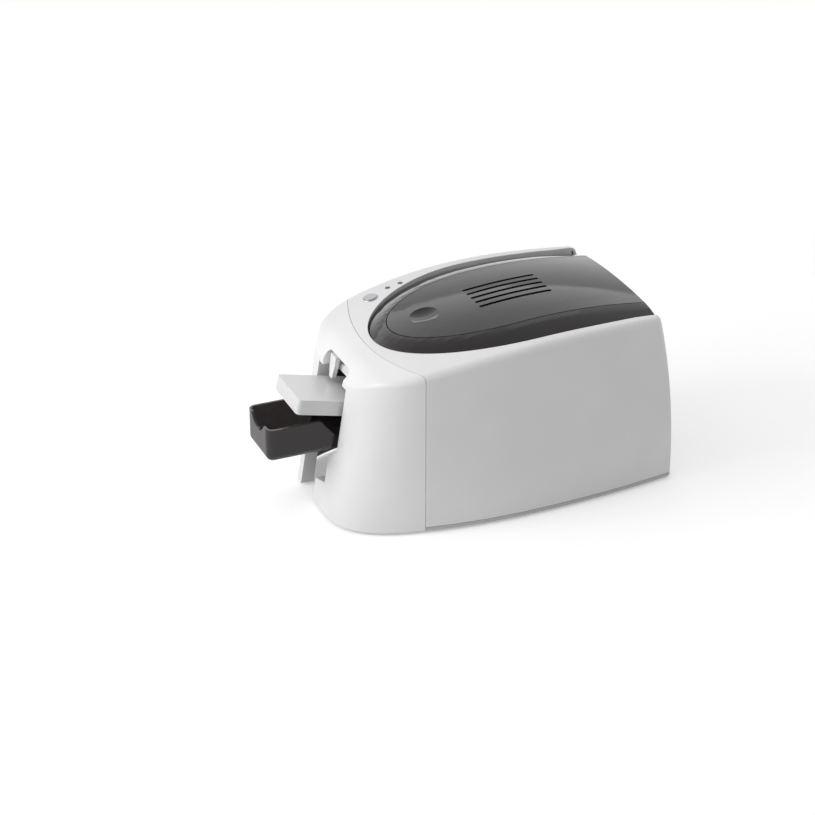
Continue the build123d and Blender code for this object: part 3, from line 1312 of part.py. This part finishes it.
output_tray.part.label = "output_tray"
export_step(output_tray.part, "parts/output_tray.step")

guide_half = TRAY_HALF + GUIDE_CLEAR
guide_floor = TRAY_FLOOR_Z - GUIDE_CLEAR
with BuildPart() as tray_guide:
    with BuildSketch(Plane.XZ.offset(-GUIDE_FRONT_Y)):
        with Locations((0, (guide_floor - GUIDE_WALL + GUIDE_TOP_Z) / 2)):
            Rectangle(2 * (guide_half + GUIDE_WALL), GUIDE_TOP_Z - guide_floor + GUIDE_WALL)
        with Locations((0, (guide_floor + GUIDE_TOP_Z) / 2)):
            Rectangle(2 * guide_half, GUIDE_TOP_Z - guide_floor, mode=Mode.SUBTRACT)
    extrude(amount=GUIDE_FRONT_Y - GUIDE_REAR_Y)
    for side in (-1, 1):
        with BuildSketch(Plane.XZ.offset(-GUIDE_REAR_Y)):
            middle = side * (guide_half + PLATE_IN + GUIDE_WALL / 2) / 2
            with Locations((middle, GUIDE_TOP_Z - FEEDER_TAB / 2)):
                Rectangle(PLATE_IN - guide_half - GUIDE_WALL / 2, FEEDER_TAB)
        extrude(amount=GUIDE_TAB)
tray_guide.part.label = "tray_guide"
export_step(tray_guide.part, "parts/tray_guide.step")

# ---------------------------------------------------------------------------------------------
# Ribbon: two spools with their rolls, and the film between them
# ---------------------------------------------------------------------------------------------


def spool(centre, right_end):
    """Spool with its core, two flanges and stub axles."""
    with BuildPart() as reel:
        add(rod(centre, SPOOL_CORE_R, -SPOOL_END, SPOOL_END))
        add(rod(centre, SPOOL_STUB_R, -short_end, right_end))
        add(rod(centre, SPOOL_FLANGE_R, RIBBON_HALF, RIBBON_HALF + SPOOL_FLANGE))
        add(rod(centre, SPOOL_FLANGE_R, -RIBBON_HALF - SPOOL_FLANGE, -RIBBON_HALF))
    return reel.part


supply_spool = spool(supply_at, short_end)
supply_spool.label = "supply_spool"
export_step(supply_spool, "parts/supply_spool.step")

supply_roll = tube(supply_at, SUPPLY_ROLL_R, SPOOL_CORE_R, -RIBBON_HALF, RIBBON_HALF)
supply_roll.label = "supply_roll"
export_step(supply_roll, "parts/supply_roll.step")

take_up_spool = spool(take_up_at, gear_out)
take_up_spool.label = "take_up_spool"
export_step(take_up_spool, "parts/take_up_spool.step")

take_up_roll = tube(take_up_at, TAKE_UP_ROLL_R, SPOOL_CORE_R, -RIBBON_HALF, RIBBON_HALF)
take_up_roll.label = "take_up_roll"
export_step(take_up_roll, "parts/take_up_roll.step")

take_up_gear = gear(TAKE_UP_TEETH, take_up_at, take_up_phase, SPOOL_STUB_R, GEAR_IN)
take_up_gear.label = "take_up_gear"
export_step(take_up_gear, "parts/take_up_gear.step")


def tangent_point(start, centre, radius, side):
    """Point where the line from start touches a circle, left (1) or right (-1) of the centre."""
    span = math.dist(start, centre)
    angle = math.degrees(math.asin(radius / span))
    return polar_point(start, math.sqrt(span**2 - radius**2), bearing(start, centre) + side * angle)


film_z = PATH_Z + CARD_WALL + FILM_CLEAR + FILM / 2
film_front = (FILM_FRONT_Y, film_z)
film_rear = (FILM_REAR_Y, film_z)
with BuildPart() as ribbon_film:
    with BuildSketch(Plane.YZ.offset(FILM_CLEAR - RIBBON_HALF)):
        with BuildLine():
            Polyline(
                tangent_point(film_front, take_up_at, TAKE_UP_ROLL_R + FILM_CLEAR + FILM / 2, 1),
                film_front,
                film_rear,
                tangent_point(film_rear, supply_at, SUPPLY_ROLL_R + FILM_CLEAR + FILM / 2, -1),
            )
            offset(amount=FILM / 2, side=Side.BOTH, kind=Kind.INTERSECTION)
        make_face()
    extrude(amount=2 * (RIBBON_HALF - FILM_CLEAR))
ribbon_film.part.label = "ribbon_film"
export_step(ribbon_film.part, "parts/ribbon_film.step")

# ---------------------------------------------------------------------------------------------
# Print head with its bracket and springs, hung under the lid's panel
# ---------------------------------------------------------------------------------------------
head_foot = film_z + FILM / 2 + HEAD_CLEAR
head_y = (HEAD_FRONT_Y + HEAD_REAR_Y) / 2
head_top = head_foot + HEAD_EDGE + HEAD_HEIGHT
bracket_foot = head_top + BRACKET_GAP
with BuildPart() as print_head:
    with BuildSketch(Plane.XY.offset(head_foot + HEAD_EDGE)):
        with Locations((0, head_y)):
            Rectangle(2 * HEAD_HALF, HEAD_REAR_Y - HEAD_FRONT_Y)
    extrude(amount=HEAD_HEIGHT)
    with BuildSketch(Plane.XY.offset(head_foot)):
        with Locations((0, head_y)):
            Rectangle(2 * HEAD_HALF, HEAD_EDGE_WIDTH)
    extrude(amount=HEAD_EDGE)
    with BuildSketch(Plane.XY.offset(head_top)):
        with Locations((-SPRING_X, head_y), (SPRING_X, head_y)):
            Circle(GUIDE_POST_R)
    extrude(amount=BRACKET_GAP + BRACKET_SHEET + HEAD_EDGE)
print_head.part.label = "print_head"
export_step(print_head.part, "parts/print_head.step")

with BuildPart() as head_bracket:
    with BuildSketch(Plane.XZ.offset(-HEAD_FRONT_Y + BRACKET_MARGIN)):
        with BuildLine():
            Polyline(
                (-BRACKET_HALF, bracket_foot),
                (BRACKET_HALF, bracket_foot),
                (BRACKET_HALF, BRACKET_TOP),
                (BOSS_X - LID_BOSS_R, BRACKET_TOP),
                (BOSS_X - LID_BOSS_R, BRACKET_TOP - BRACKET_SHEET),
                (BRACKET_HALF - BRACKET_SHEET, BRACKET_TOP - BRACKET_SHEET),
                (BRACKET_HALF - BRACKET_SHEET, bracket_foot + BRACKET_SHEET),
                (BRACKET_SHEET - BRACKET_HALF, bracket_foot + BRACKET_SHEET),
                (BRACKET_SHEET - BRACKET_HALF, BRACKET_TOP - BRACKET_SHEET),
                (LID_BOSS_R - BOSS_X, BRACKET_TOP - BRACKET_SHEET),
                (LID_BOSS_R - BOSS_X, BRACKET_TOP),
                (-BRACKET_HALF, BRACKET_TOP),
                close=True,
            )
        make_face()
    extrude(amount=-(HEAD_REAR_Y - HEAD_FRONT_Y + 2 * BRACKET_MARGIN))
    with BuildSketch(Plane.XY.offset(bracket_foot)):
        with Locations((-SPRING_X, head_y), (SPRING_X, head_y)):
            Circle(GUIDE_POST_R + GUIDE_HOLE_CLEAR)
    extrude(amount=BRACKET_SHEET, mode=Mode.SUBTRACT)
head_bracket.part.label = "head_bracket"
export_step(head_bracket.part, "parts/head_bracket.step")

with BuildPart() as head_springs:
    coil_height = BRACKET_GAP - SPRING_WIRE
    for x in (-SPRING_X, SPRING_X):
        with BuildLine():
            coil = Helix(
                pitch=coil_height / SPRING_TURNS,
                height=coil_height,
                radius=SPRING_R - SPRING_WIRE / 2,
                center=(x, head_y, head_top + SPRING_WIRE / 2),
            )
        with BuildSketch(Plane(origin=coil @ 0, z_dir=coil % 0)):
            Circle(SPRING_WIRE / 2)
        sweep(path=coil)
head_springs.part.label = "head_springs"
export_step(head_springs.part, "parts/head_springs.step")

# ---------------------------------------------------------------------------------------------
# Main board and the sockets at the rear
# ---------------------------------------------------------------------------------------------
board_top = MAIN_BOARD_Z + BOARD_WALL
inlet_face_y = rear_y(SOCKET_Z)
with BuildPart() as main_board:
    with BuildSketch(Plane.XY.offset(MAIN_BOARD_Z)):
        with Locations((0, (MAIN_BOARD_FRONT_Y + MAIN_BOARD_REAR_Y) / 2)):
            Rectangle(2 * MAIN_BOARD_HALF, MAIN_BOARD_REAR_Y - MAIN_BOARD_FRONT_Y)
    extrude(amount=BOARD_WALL)
main_board.part.label = "main_board"
export_step(main_board.part, "parts/main_board.step")

with BuildPart() as board_parts:
    with BuildSketch(Plane.XY.offset(board_top)):
        with Locations((-CHIP_X, CHIP_Y), (CHIP_X, CHIP_Y)):
            Rectangle(CHIP_SIZE, CHIP_SIZE)
        with Locations((0, CHIP_Y)):
            Rectangle(CHIP_SIZE / 2, CHIP_SIZE)
    extrude(amount=CHIP_HEIGHT)
    with BuildSketch(Plane.XY.offset(board_top)):
        with Locations((-2 * CHIP_X, CHIP_Y), (2 * CHIP_X, CHIP_Y)):
            Circle(CAPACITOR_R)
    extrude(amount=CAPACITOR_HEIGHT)
board_parts.part.label = "board_parts"
export_step(board_parts.part, "parts/board_parts.step")

with BuildPart() as power_inlet:
    with BuildSketch(Plane.XZ.offset(-MAIN_BOARD_REAR_Y + SOCKET_SEAT)):
        with Locations((INLET_X, (board_top + SOCKET_Z + INLET_R) / 2)):
            Rectangle(2 * INLET_R, SOCKET_Z + INLET_R - board_top)
    extrude(amount=-SOCKET_SEAT)
    with BuildSketch(Plane.XZ.offset(-MAIN_BOARD_REAR_Y)):
        with Locations((INLET_X, SOCKET_Z)):
            Circle(INLET_R)
    extrude(amount=-(inlet_face_y - MAIN_BOARD_REAR_Y))
    with BuildSketch(Plane.XZ.offset(-inlet_face_y + INLET_DEPTH)):
        with Locations((INLET_X, SOCKET_Z)):
            Circle(INLET_BORE_R)
            Circle(INLET_PIN_R, mode=Mode.SUBTRACT)
    extrude(amount=-INLET_DEPTH, mode=Mode.SUBTRACT)
power_inlet.part.label = "power_inlet"
export_step(power_inlet.part, "parts/power_inlet.step")

with BuildPart() as data_socket:
    with BuildSketch(Plane.XZ.offset(-MAIN_BOARD_REAR_Y + SOCKET_SEAT)):
        with Locations((DATA_X, (board_top + SOCKET_Z + DATA_HEIGHT / 2) / 2)):
            Rectangle(DATA_WIDTH, SOCKET_Z + DATA_HEIGHT / 2 - board_top)
    extrude(amount=-SOCKET_SEAT)
    with BuildSketch(Plane.XZ.offset(-MAIN_BOARD_REAR_Y)):
        with Locations((DATA_X, SOCKET_Z)):
            Rectangle(DATA_WIDTH, DATA_HEIGHT)
    extrude(amount=-(inlet_face_y - MAIN_BOARD_REAR_Y))
    with BuildSketch(Plane.XZ.offset(-inlet_face_y + INLET_DEPTH)):
        with Locations((DATA_X, SOCKET_Z)):
            Rectangle(DATA_WIDTH - 2 * DATA_WALL, DATA_HEIGHT - 2 * DATA_WALL)
            Rectangle(DATA_WIDTH / 2, DATA_HEIGHT / 4, mode=Mode.SUBTRACT)
    extrude(amount=-INLET_DEPTH, mode=Mode.SUBTRACT)
data_socket.part.label = "data_socket"
export_step(data_socket.part, "parts/data_socket.step")
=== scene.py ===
import math

import bmesh
import bpy
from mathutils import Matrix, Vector


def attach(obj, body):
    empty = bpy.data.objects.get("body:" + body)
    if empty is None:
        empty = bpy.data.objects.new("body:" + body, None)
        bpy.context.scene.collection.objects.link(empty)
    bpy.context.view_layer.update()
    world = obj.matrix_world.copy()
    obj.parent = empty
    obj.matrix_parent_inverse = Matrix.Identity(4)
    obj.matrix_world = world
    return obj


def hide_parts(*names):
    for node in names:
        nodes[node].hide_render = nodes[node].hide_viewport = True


# A desktop printer for plastic cards: white barrel-sided housing, smoke-tinted lid and tray, and a
# stack of blank cards half way into the feeder. Everything is in metres, in the frame of the solids.

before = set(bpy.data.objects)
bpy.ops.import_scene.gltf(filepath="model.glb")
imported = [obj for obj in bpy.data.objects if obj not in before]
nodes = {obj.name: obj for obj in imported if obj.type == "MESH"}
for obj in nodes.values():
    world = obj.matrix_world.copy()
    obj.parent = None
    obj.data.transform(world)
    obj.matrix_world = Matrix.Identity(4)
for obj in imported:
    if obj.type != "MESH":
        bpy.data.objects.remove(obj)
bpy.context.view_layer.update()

# ------------------------------------------------------------------------------- materials

# Texture scales are per metre, depths in metres.
CLOUD_SCALE = 14
GLOSS_SCALE = 60
GRAIN_STRENGTH = 0.6
LINE_DEPTH = 0.00001
LINE_STRENGTH = 0.5
STREAK_SCALE = 120
WAVE_DEPTH = 0.00002
WAVE_STRENGTH = 0.3
CLEAR_ROUGHNESS = 0.06
SHELL_EDGE = 0.0005


def material(name, color, roughness, **inputs):
    """Principled material; returns it with its node tree and shader."""
    mat = bpy.data.materials.new(name)
    mat.use_nodes = True
    tree = mat.node_tree
    shader = tree.nodes["Principled BSDF"]
    shader.inputs["Base Color"].default_value = (*color, 1)
    shader.inputs["Roughness"].default_value = roughness
    for key, value in inputs.items():
        shader.inputs[key.replace("_", " ")].default_value = value
    return mat, tree, shader


def noise(tree, scale, detail=3.0, stretch=(1, 1, 1)):
    """Noise in object space, with features of about 1/scale metres."""
    coords = tree.nodes.new("ShaderNodeTexCoord")
    mapping = tree.nodes.new("ShaderNodeMapping")
    mapping.inputs["Scale"].default_value = stretch
    tree.links.new(coords.outputs["Object"], mapping.inputs["Vector"])
    texture = tree.nodes.new("ShaderNodeTexNoise")
    texture.inputs["Scale"].default_value = scale
    texture.inputs["Detail"].default_value = detail
    tree.links.new(mapping.outputs["Vector"], texture.inputs["Vector"])
    return texture.outputs["Fac"]


def ramp(tree, factor, low, high, start=0.3, end=0.7):
    """Two colours mixed by a factor."""
    node = tree.nodes.new("ShaderNodeValToRGB")
    node.color_ramp.elements[0].position = start
    node.color_ramp.elements[1].position = end
    node.color_ramp.elements[0].color = (*low, 1)
    node.color_ramp.elements[1].color = (*high, 1)
    tree.links.new(factor, node.inputs["Fac"])
    return node.outputs["Color"]


def span(tree, factor, low, high):
    """A factor mapped from 0..1 to low..high."""
    node = tree.nodes.new("ShaderNodeMapRange")
    node.inputs["To Min"].default_value = low
    node.inputs["To Max"].default_value = high
    tree.links.new(factor, node.inputs["Value"])
    return node.outputs["Result"]


def bump(tree, shader, height, distance, strength=1.0, soft_edge=0.0):
    """Bump from a height, over edges softened by soft_edge metres."""
    node = tree.nodes.new("ShaderNodeBump")
    node.inputs["Distance"].default_value = distance
    node.inputs["Strength"].default_value = strength
    tree.links.new(height, node.inputs["Height"])
    if soft_edge:
        edge = tree.nodes.new("ShaderNodeBevel")
        edge.samples = 4
        edge.inputs["Radius"].default_value = soft_edge
        tree.links.new(edge.outputs["Normal"], node.inputs["Normal"])
    tree.links.new(node.outputs["Normal"], shader.inputs["Normal"])


def moulded(name, color, roughness, grain=900, depth=0.00002, vary=0.03, soft_edge=0.0, **inputs):
    """Moulded plastic: faint cloudiness, fine spark-eroded grain, uneven gloss."""
    mat, tree, shader = material(name, color, roughness, **inputs)
    cloud = noise(tree, CLOUD_SCALE, 2.0)
    low = tuple(c * (1 - vary) for c in color)
    high = tuple(min(1, c * (1 + vary)) for c in color)
    tree.links.new(ramp(tree, cloud, low, high), shader.inputs["Base Color"])
    fine = noise(tree, grain, 4.0)
    gloss = span(tree, noise(tree, GLOSS_SCALE), roughness * 0.85, roughness * 1.15)
    tree.links.new(gloss, shader.inputs["Roughness"])
    bump(tree, shader, fine, depth, GRAIN_STRENGTH, soft_edge)
    return mat


def metal(name, color, roughness, stretch=(1, 1, 30), scale=400):
    """Metal with rolling or turning lines along one direction."""
    mat, tree, shader = material(name, color, roughness, Metallic=1.0)
    lines = noise(tree, scale, 4.0, stretch)
    dark = tuple(c * 0.85 for c in color)
    tree.links.new(ramp(tree, lines, dark, color), shader.inputs["Base Color"])
    tree.links.new(span(tree, lines, roughness * 0.8, roughness * 1.3), shader.inputs["Roughness"])
    bump(tree, shader, lines, LINE_DEPTH, LINE_STRENGTH)
    return mat


def clear_plastic(name, color, ior, transmission, gloss, wave_scale):
    """Tinted see-through plastic: uneven gloss and faint moulding waves."""
    mat, tree, shader = material(name, color, CLEAR_ROUGHNESS, IOR=ior)
    shader.inputs["Transmission Weight"].default_value = transmission
    tree.links.new(span(tree, noise(tree, STREAK_SCALE), *gloss), shader.inputs["Roughness"])
    bump(tree, shader, noise(tree, wave_scale, 2.0), WAVE_DEPTH, WAVE_STRENGTH)
    return mat


white = moulded("white_shell_plastic", (0.76, 0.76, 0.77), 0.42, soft_edge=SHELL_EDGE)
fascia = moulded("fascia_plastic", (0.80, 0.80, 0.80), 0.40, soft_edge=SHELL_EDGE)
pan = moulded("pan_plastic", (0.50, 0.50, 0.51), 0.5)
smoke = clear_plastic("smoke_plastic", (0.016, 0.011, 0.014), 1.52, 0.35, (0.045, 0.09), 30)
tray_smoke = clear_plastic("tray_smoke_plastic", (0.075, 0.062, 0.062), 1.5, 0.6, (0.06, 0.12), 40)
button_mat = metal("button_metallic", (0.42, 0.43, 0.45), 0.32, (1, 1, 1), 900)
ring_mat = metal("ring_metallic", (0.55, 0.56, 0.58), 0.22, (1, 1, 1), 900)
lens = moulded("lens_dark", (0.02, 0.02, 0.02), 0.12, vary=0.1)
rubber = moulded("rubber_black", (0.025, 0.025, 0.025), 0.8, 700, 0.00005, 0.15)
roller = moulded("rubber_roller", (0.05, 0.05, 0.055), 0.65, 1200, 0.00003, 0.1)
black = moulded("black_plastic", (0.02, 0.02, 0.022), 0.45, 800, 0.00003, 0.12)
gears = moulded("gear_plastic", (0.62, 0.60, 0.55), 0.4, 800, 0.00002, 0.05)
board = moulded("board_green", (0.02, 0.10, 0.04), 0.35, 500, 0.00002, 0.2)
steel = metal("sheet_steel", (0.52, 0.53, 0.54), 0.32, (1, 30, 1))
shaft_steel = metal("shaft_steel", (0.6, 0.6, 0.61), 0.2, (30, 1, 1))
bronze = metal("bronze", (0.45, 0.30, 0.14), 0.35, (1, 1, 1))
film = moulded("ribbon_black", (0.015, 0.015, 0.02), 0.2, 600, 0.00001, 0.2)
head_mat = metal("head_aluminium", (0.5, 0.51, 0.53), 0.35, (30, 1, 1))
card = moulded("card_white", (0.74, 0.74, 0.75), 0.3, 1500, 0.000005, 0.015)

looks = {
    white: ["main_cover"],
    fascia: ["front_fascia", "gauge_tab"],
    pan: ["base_pan", "rear_panel"],
    smoke: ["lid_frame", "lid_panel"],
    tray_smoke: ["output_tray"],
    button_mat: ["power_button"],
    ring_mat: ["button_ring"],
    lens: ["indicator_lights"],
    rubber: ["rubber_feet"],
    roller: ["platen_rubber", "transport_rubber", "feed_rubber", "exit_rubber", "cleaning_roller"],
    black: ["board_parts", "power_inlet", "card_feeder", "feeder_gate", "tray_guide",
            "supply_spool", "take_up_spool"],
    gears: [n for n in nodes if n.endswith("_gear")] + ["motor_pinion"],
    board: ["small_board", "main_board"],
    steel: ["right_side_plate", "left_side_plate", "return_guide", "track_guide", "head_bracket",
            "data_socket", "stepper_motor"],
    shaft_steel: ["platen_shaft", "transport_shaft", "feed_shaft", "exit_shaft", "gear_pins", "hinge_pins",
                  "head_springs"],
    bronze: ["shaft_bushes"],
    film: ["ribbon_film", "supply_roll", "take_up_roll"],
    head_mat: ["print_head"],
}
for mat, names in looks.items():
    for name in names:
        mesh = nodes[name].data
        mesh.materials.clear()
        mesh.materials.append(mat)

# ------------------------------------------------------------------------------- the cards

FEED = Vector((0, -0.1125, 0.095))
TILT = math.radians(13.1)
ALONG = Vector((0, math.cos(TILT), -math.sin(TILT)))
UP = Vector((0, math.sin(TILT), math.cos(TILT)))
CARD = (0.054, 0.0856, 0.00076)
CORNER = 0.0032
CORNER_STEPS = 6
COUNT = 18
STACK_FRONT = -0.044
FLOAT = 0.0004
GAP = 0.00003
BEVEL = 0.00012
BEVEL_RISE = 0.0001
EASE_ACROSS = 0.0001
EASE_ALONG = 0.00025
WANDER_ACROSS = 0.00008
WANDER_ALONG = 0.00010
SET_BACK = 0.00012


def card_outline():
    """Rounded rectangle of a card, across and along."""
    points = []
    for cx, cy, start in ((1, 1, 0), (-1, 1, 90), (-1, -1, 180), (1, -1, 270)):
        for k in range(CORNER_STEPS + 1):
            angle = math.radians(start + 90 / CORNER_STEPS * k)
            x = cx * (CARD[0] / 2 - CORNER) + CORNER * math.cos(angle)
            y = cy * (CARD[1] / 2 - CORNER) + CORNER * math.sin(angle)
            points.append((x, y))
    return points


def build_cards():
    """The stack: single cards, each a hair off its neighbours."""
    mesh = bmesh.new()
    outline = card_outline()
    middle = FEED + ALONG * (STACK_FRONT + CARD[1] / 2) + UP * FLOAT
    top = CARD[2] - GAP
    levels = ((GAP, BEVEL), (GAP + BEVEL_RISE, 0), (top - BEVEL_RISE, 0), (top, BEVEL))
    for k in range(COUNT):
        shift_x = WANDER_ACROSS * math.sin(k * 2.3)
        shift_y = WANDER_ALONG * math.sin(k * 1.7 + 1) - SET_BACK
        rings = []
        for height, inset in levels:
            shrink_x = (CARD[0] / 2 - inset - EASE_ACROSS) / (CARD[0] / 2)
            shrink_y = (CARD[1] / 2 - inset - EASE_ALONG) / (CARD[1] / 2)
            ring = []
            for x, y in outline:
                place = middle + Vector((x * shrink_x + shift_x, 0, 0))
                place += ALONG * (y * shrink_y + shift_y) + UP * (k * CARD[2] + height)
                ring.append(mesh.verts.new(place))
            rings.append(ring)
        for low, high in zip(rings, rings[1:]):
            for i in range(len(low)):
                j = (i + 1) % len(low)
                mesh.faces.new((low[i], low[j], high[j], high[i]))
        mesh.faces.new(rings[-1])
        mesh.faces.new(list(reversed(rings[0])))
    bmesh.ops.recalc_face_normals(mesh, faces=mesh.faces)
    data = bpy.data.meshes.new("blank_cards")
    mesh.to_mesh(data)
    mesh.free()
    piece = bpy.data.objects.new("blank_cards", data)
    bpy.context.scene.collection.objects.link(piece)
    data.materials.append(card)
    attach(piece, "cards")
    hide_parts("card_stack")


build_cards()

# ------------------------------------------------------------------------------- floor and light

FLOOR_SIZE = 4
FLOOR_LIFT = 0.35
FLOOR_NEAR = 0.28
FLOOR_FAR = 0.75
KEY_FROM = (-0.05, -0.95, 0.48)
KEY_DISTANCE = 1.6
KEY_SIZE = (0.8, 0.8)
KEY_POWER = 11
KEY_AIM = Vector((0, 0, 0.08))
TENT_EDGE = (0.455, -0.034, 0.890)
TENT_STOPS = ((0.0, 1.7), (0.30, 1.6), (0.497, 1.0), (0.503, 1.9), (0.60, 1.3), (0.80, 0.7), (1.0, 0.5))
FILL_FROM = (-0.45, -0.30, 0.84)
FILL_STOPS = ((0.0, 0.34), (0.5, 0.56), (1.0, 0.80))


def floor_material():
    """White sweep: keeps the shadow near the printer and fades into the white backdrop."""
    mat, tree, shader = material("floor_white", (0.82, 0.82, 0.82), 0.9)
    shader.inputs["Specular IOR Level"].default_value = 0.0
    links, make = tree.links, tree.nodes.new
    rays = make("ShaderNodeLightPath")
    glow = make("ShaderNodeEmission")
    lift = make("ShaderNodeMath")
    lift.operation = "MULTIPLY"
    lift.inputs[1].default_value = FLOOR_LIFT
    links.new(rays.outputs["Is Camera Ray"], lift.inputs[0])
    links.new(lift.outputs[0], glow.inputs["Strength"])
    both = make("ShaderNodeAddShader")
    links.new(shader.outputs[0], both.inputs[0])
    links.new(glow.outputs[0], both.inputs[1])
    coords = make("ShaderNodeTexCoord")
    reach = make("ShaderNodeVectorMath")
    reach.operation = "LENGTH"
    links.new(coords.outputs["Object"], reach.inputs[0])
    fade = make("ShaderNodeMapRange")
    fade.interpolation_type = "SMOOTHSTEP"
    fade.inputs["From Min"].default_value = FLOOR_NEAR
    fade.inputs["From Max"].default_value = FLOOR_FAR
    links.new(reach.outputs["Value"], fade.inputs["Value"])
    clear = make("ShaderNodeBsdfTransparent")
    mix = make("ShaderNodeMixShader")
    links.new(fade.outputs["Result"], mix.inputs["Fac"])
    links.new(both.outputs[0], mix.inputs[1])
    links.new(clear.outputs[0], mix.inputs[2])
    links.new(mix.outputs[0], tree.nodes["Material Output"].inputs["Surface"])
    return mat


def key_light():
    """Square soft light from the front, aimed at the printer."""
    light = bpy.data.lights.new("key", "AREA")
    light.shape = "RECTANGLE"
    light.size, light.size_y = KEY_SIZE
    light.energy = KEY_POWER
    lamp = bpy.data.objects.new("key", light)
    lamp.location = KEY_AIM + Vector(KEY_FROM).normalized() * KEY_DISTANCE
    lamp.rotation_euler = (KEY_AIM - lamp.location).to_track_quat("-Z", "Y").to_euler()
    bpy.context.scene.collection.objects.link(lamp)


def mapped(tree, value, stops):
    """Grey from a value by a list of (position, grey) stops."""
    node = tree.nodes.new("ShaderNodeValToRGB")
    elements = node.color_ramp.elements
    elements[0].position, elements[0].color = stops[0][0], (stops[0][1],) * 3 + (1,)
    elements[1].position, elements[1].color = stops[-1][0], (stops[-1][1],) * 3 + (1,)
    for position, grey in stops[1:-1]:
        elements.new(position).color = (grey, grey, grey, 1)
    tree.links.new(value, node.inputs["Fac"])
    return node.outputs["Color"]


def facing(tree, vector, direction):
    """Dot product with a direction, mapped from -1..1 to 0..1."""
    node = tree.nodes.new("ShaderNodeVectorMath")
    node.operation = "DOT_PRODUCT"
    node.inputs[1].default_value = direction
    tree.links.new(vector, node.inputs[0])
    scale = tree.nodes.new("ShaderNodeMath")
    scale.operation = "MULTIPLY_ADD"
    scale.inputs[1].default_value = 0.5
    scale.inputs[2].default_value = 0.5
    tree.links.new(node.outputs["Value"], scale.inputs[0])
    return scale.outputs[0]


def studio_world():
    """White to the eye; gloss sees a bright tent with the straight edge of an overhead panel."""
    world = bpy.data.worlds.new("studio")
    bpy.context.scene.world = world
    world.use_nodes = True
    tree = world.node_tree
    tree.nodes.clear()
    links, make = tree.links, tree.nodes.new
    coords = make("ShaderNodeTexCoord")
    rays = make("ShaderNodeLightPath")
    tent = mapped(tree, facing(tree, coords.outputs["Generated"], TENT_EDGE), TENT_STOPS)
    fill = mapped(tree, facing(tree, coords.outputs["Generated"], FILL_FROM), FILL_STOPS)
    shaders = []
    for color in (fill, tent, None):
        node = make("ShaderNodeBackground")
        if color:
            links.new(color, node.inputs["Color"])
        else:
            node.inputs["Color"].default_value = (1, 1, 1, 1)
        shaders.append(node)
    last = shaders[0]
    for flag, shader in (("Is Glossy Ray", shaders[1]), ("Is Camera Ray", shaders[2])):
        mix = make("ShaderNodeMixShader")
        links.new(rays.outputs[flag], mix.inputs["Fac"])
        links.new(last.outputs[0], mix.inputs[1])
        links.new(shader.outputs[0], mix.inputs[2])
        last = mix
    links.new(last.outputs[0], make("ShaderNodeOutputWorld").inputs["Surface"])


bpy.ops.mesh.primitive_plane_add(size=FLOOR_SIZE, location=(0, 0, 0))
floor = bpy.context.object
floor.name = "floor"
floor.data.materials.append(floor_material())
key_light()
studio_world()

# ------------------------------------------------------------------------------- camera

LENS = 96.48
SENSOR_WIDTH = 36.0
CLIP_END = 50
CAMERA_AT = (1.56141, -0.71364, 0.96483)
CAMERA_AIM = Vector((0, -0.0416, 0.0761))

camera_data = bpy.data.cameras.new("camera")
camera_data.lens = LENS
camera_data.sensor_width = SENSOR_WIDTH
camera_data.clip_end = CLIP_END
camera = bpy.data.objects.new("camera", camera_data)
camera.location = CAMERA_AT
camera.rotation_euler = (CAMERA_AIM - camera.location).to_track_quat("-Z", "Y").to_euler()
bpy.context.scene.collection.objects.link(camera)
bpy.context.scene.camera = camera
bpy.context.scene.view_settings.view_transform = "Standard"
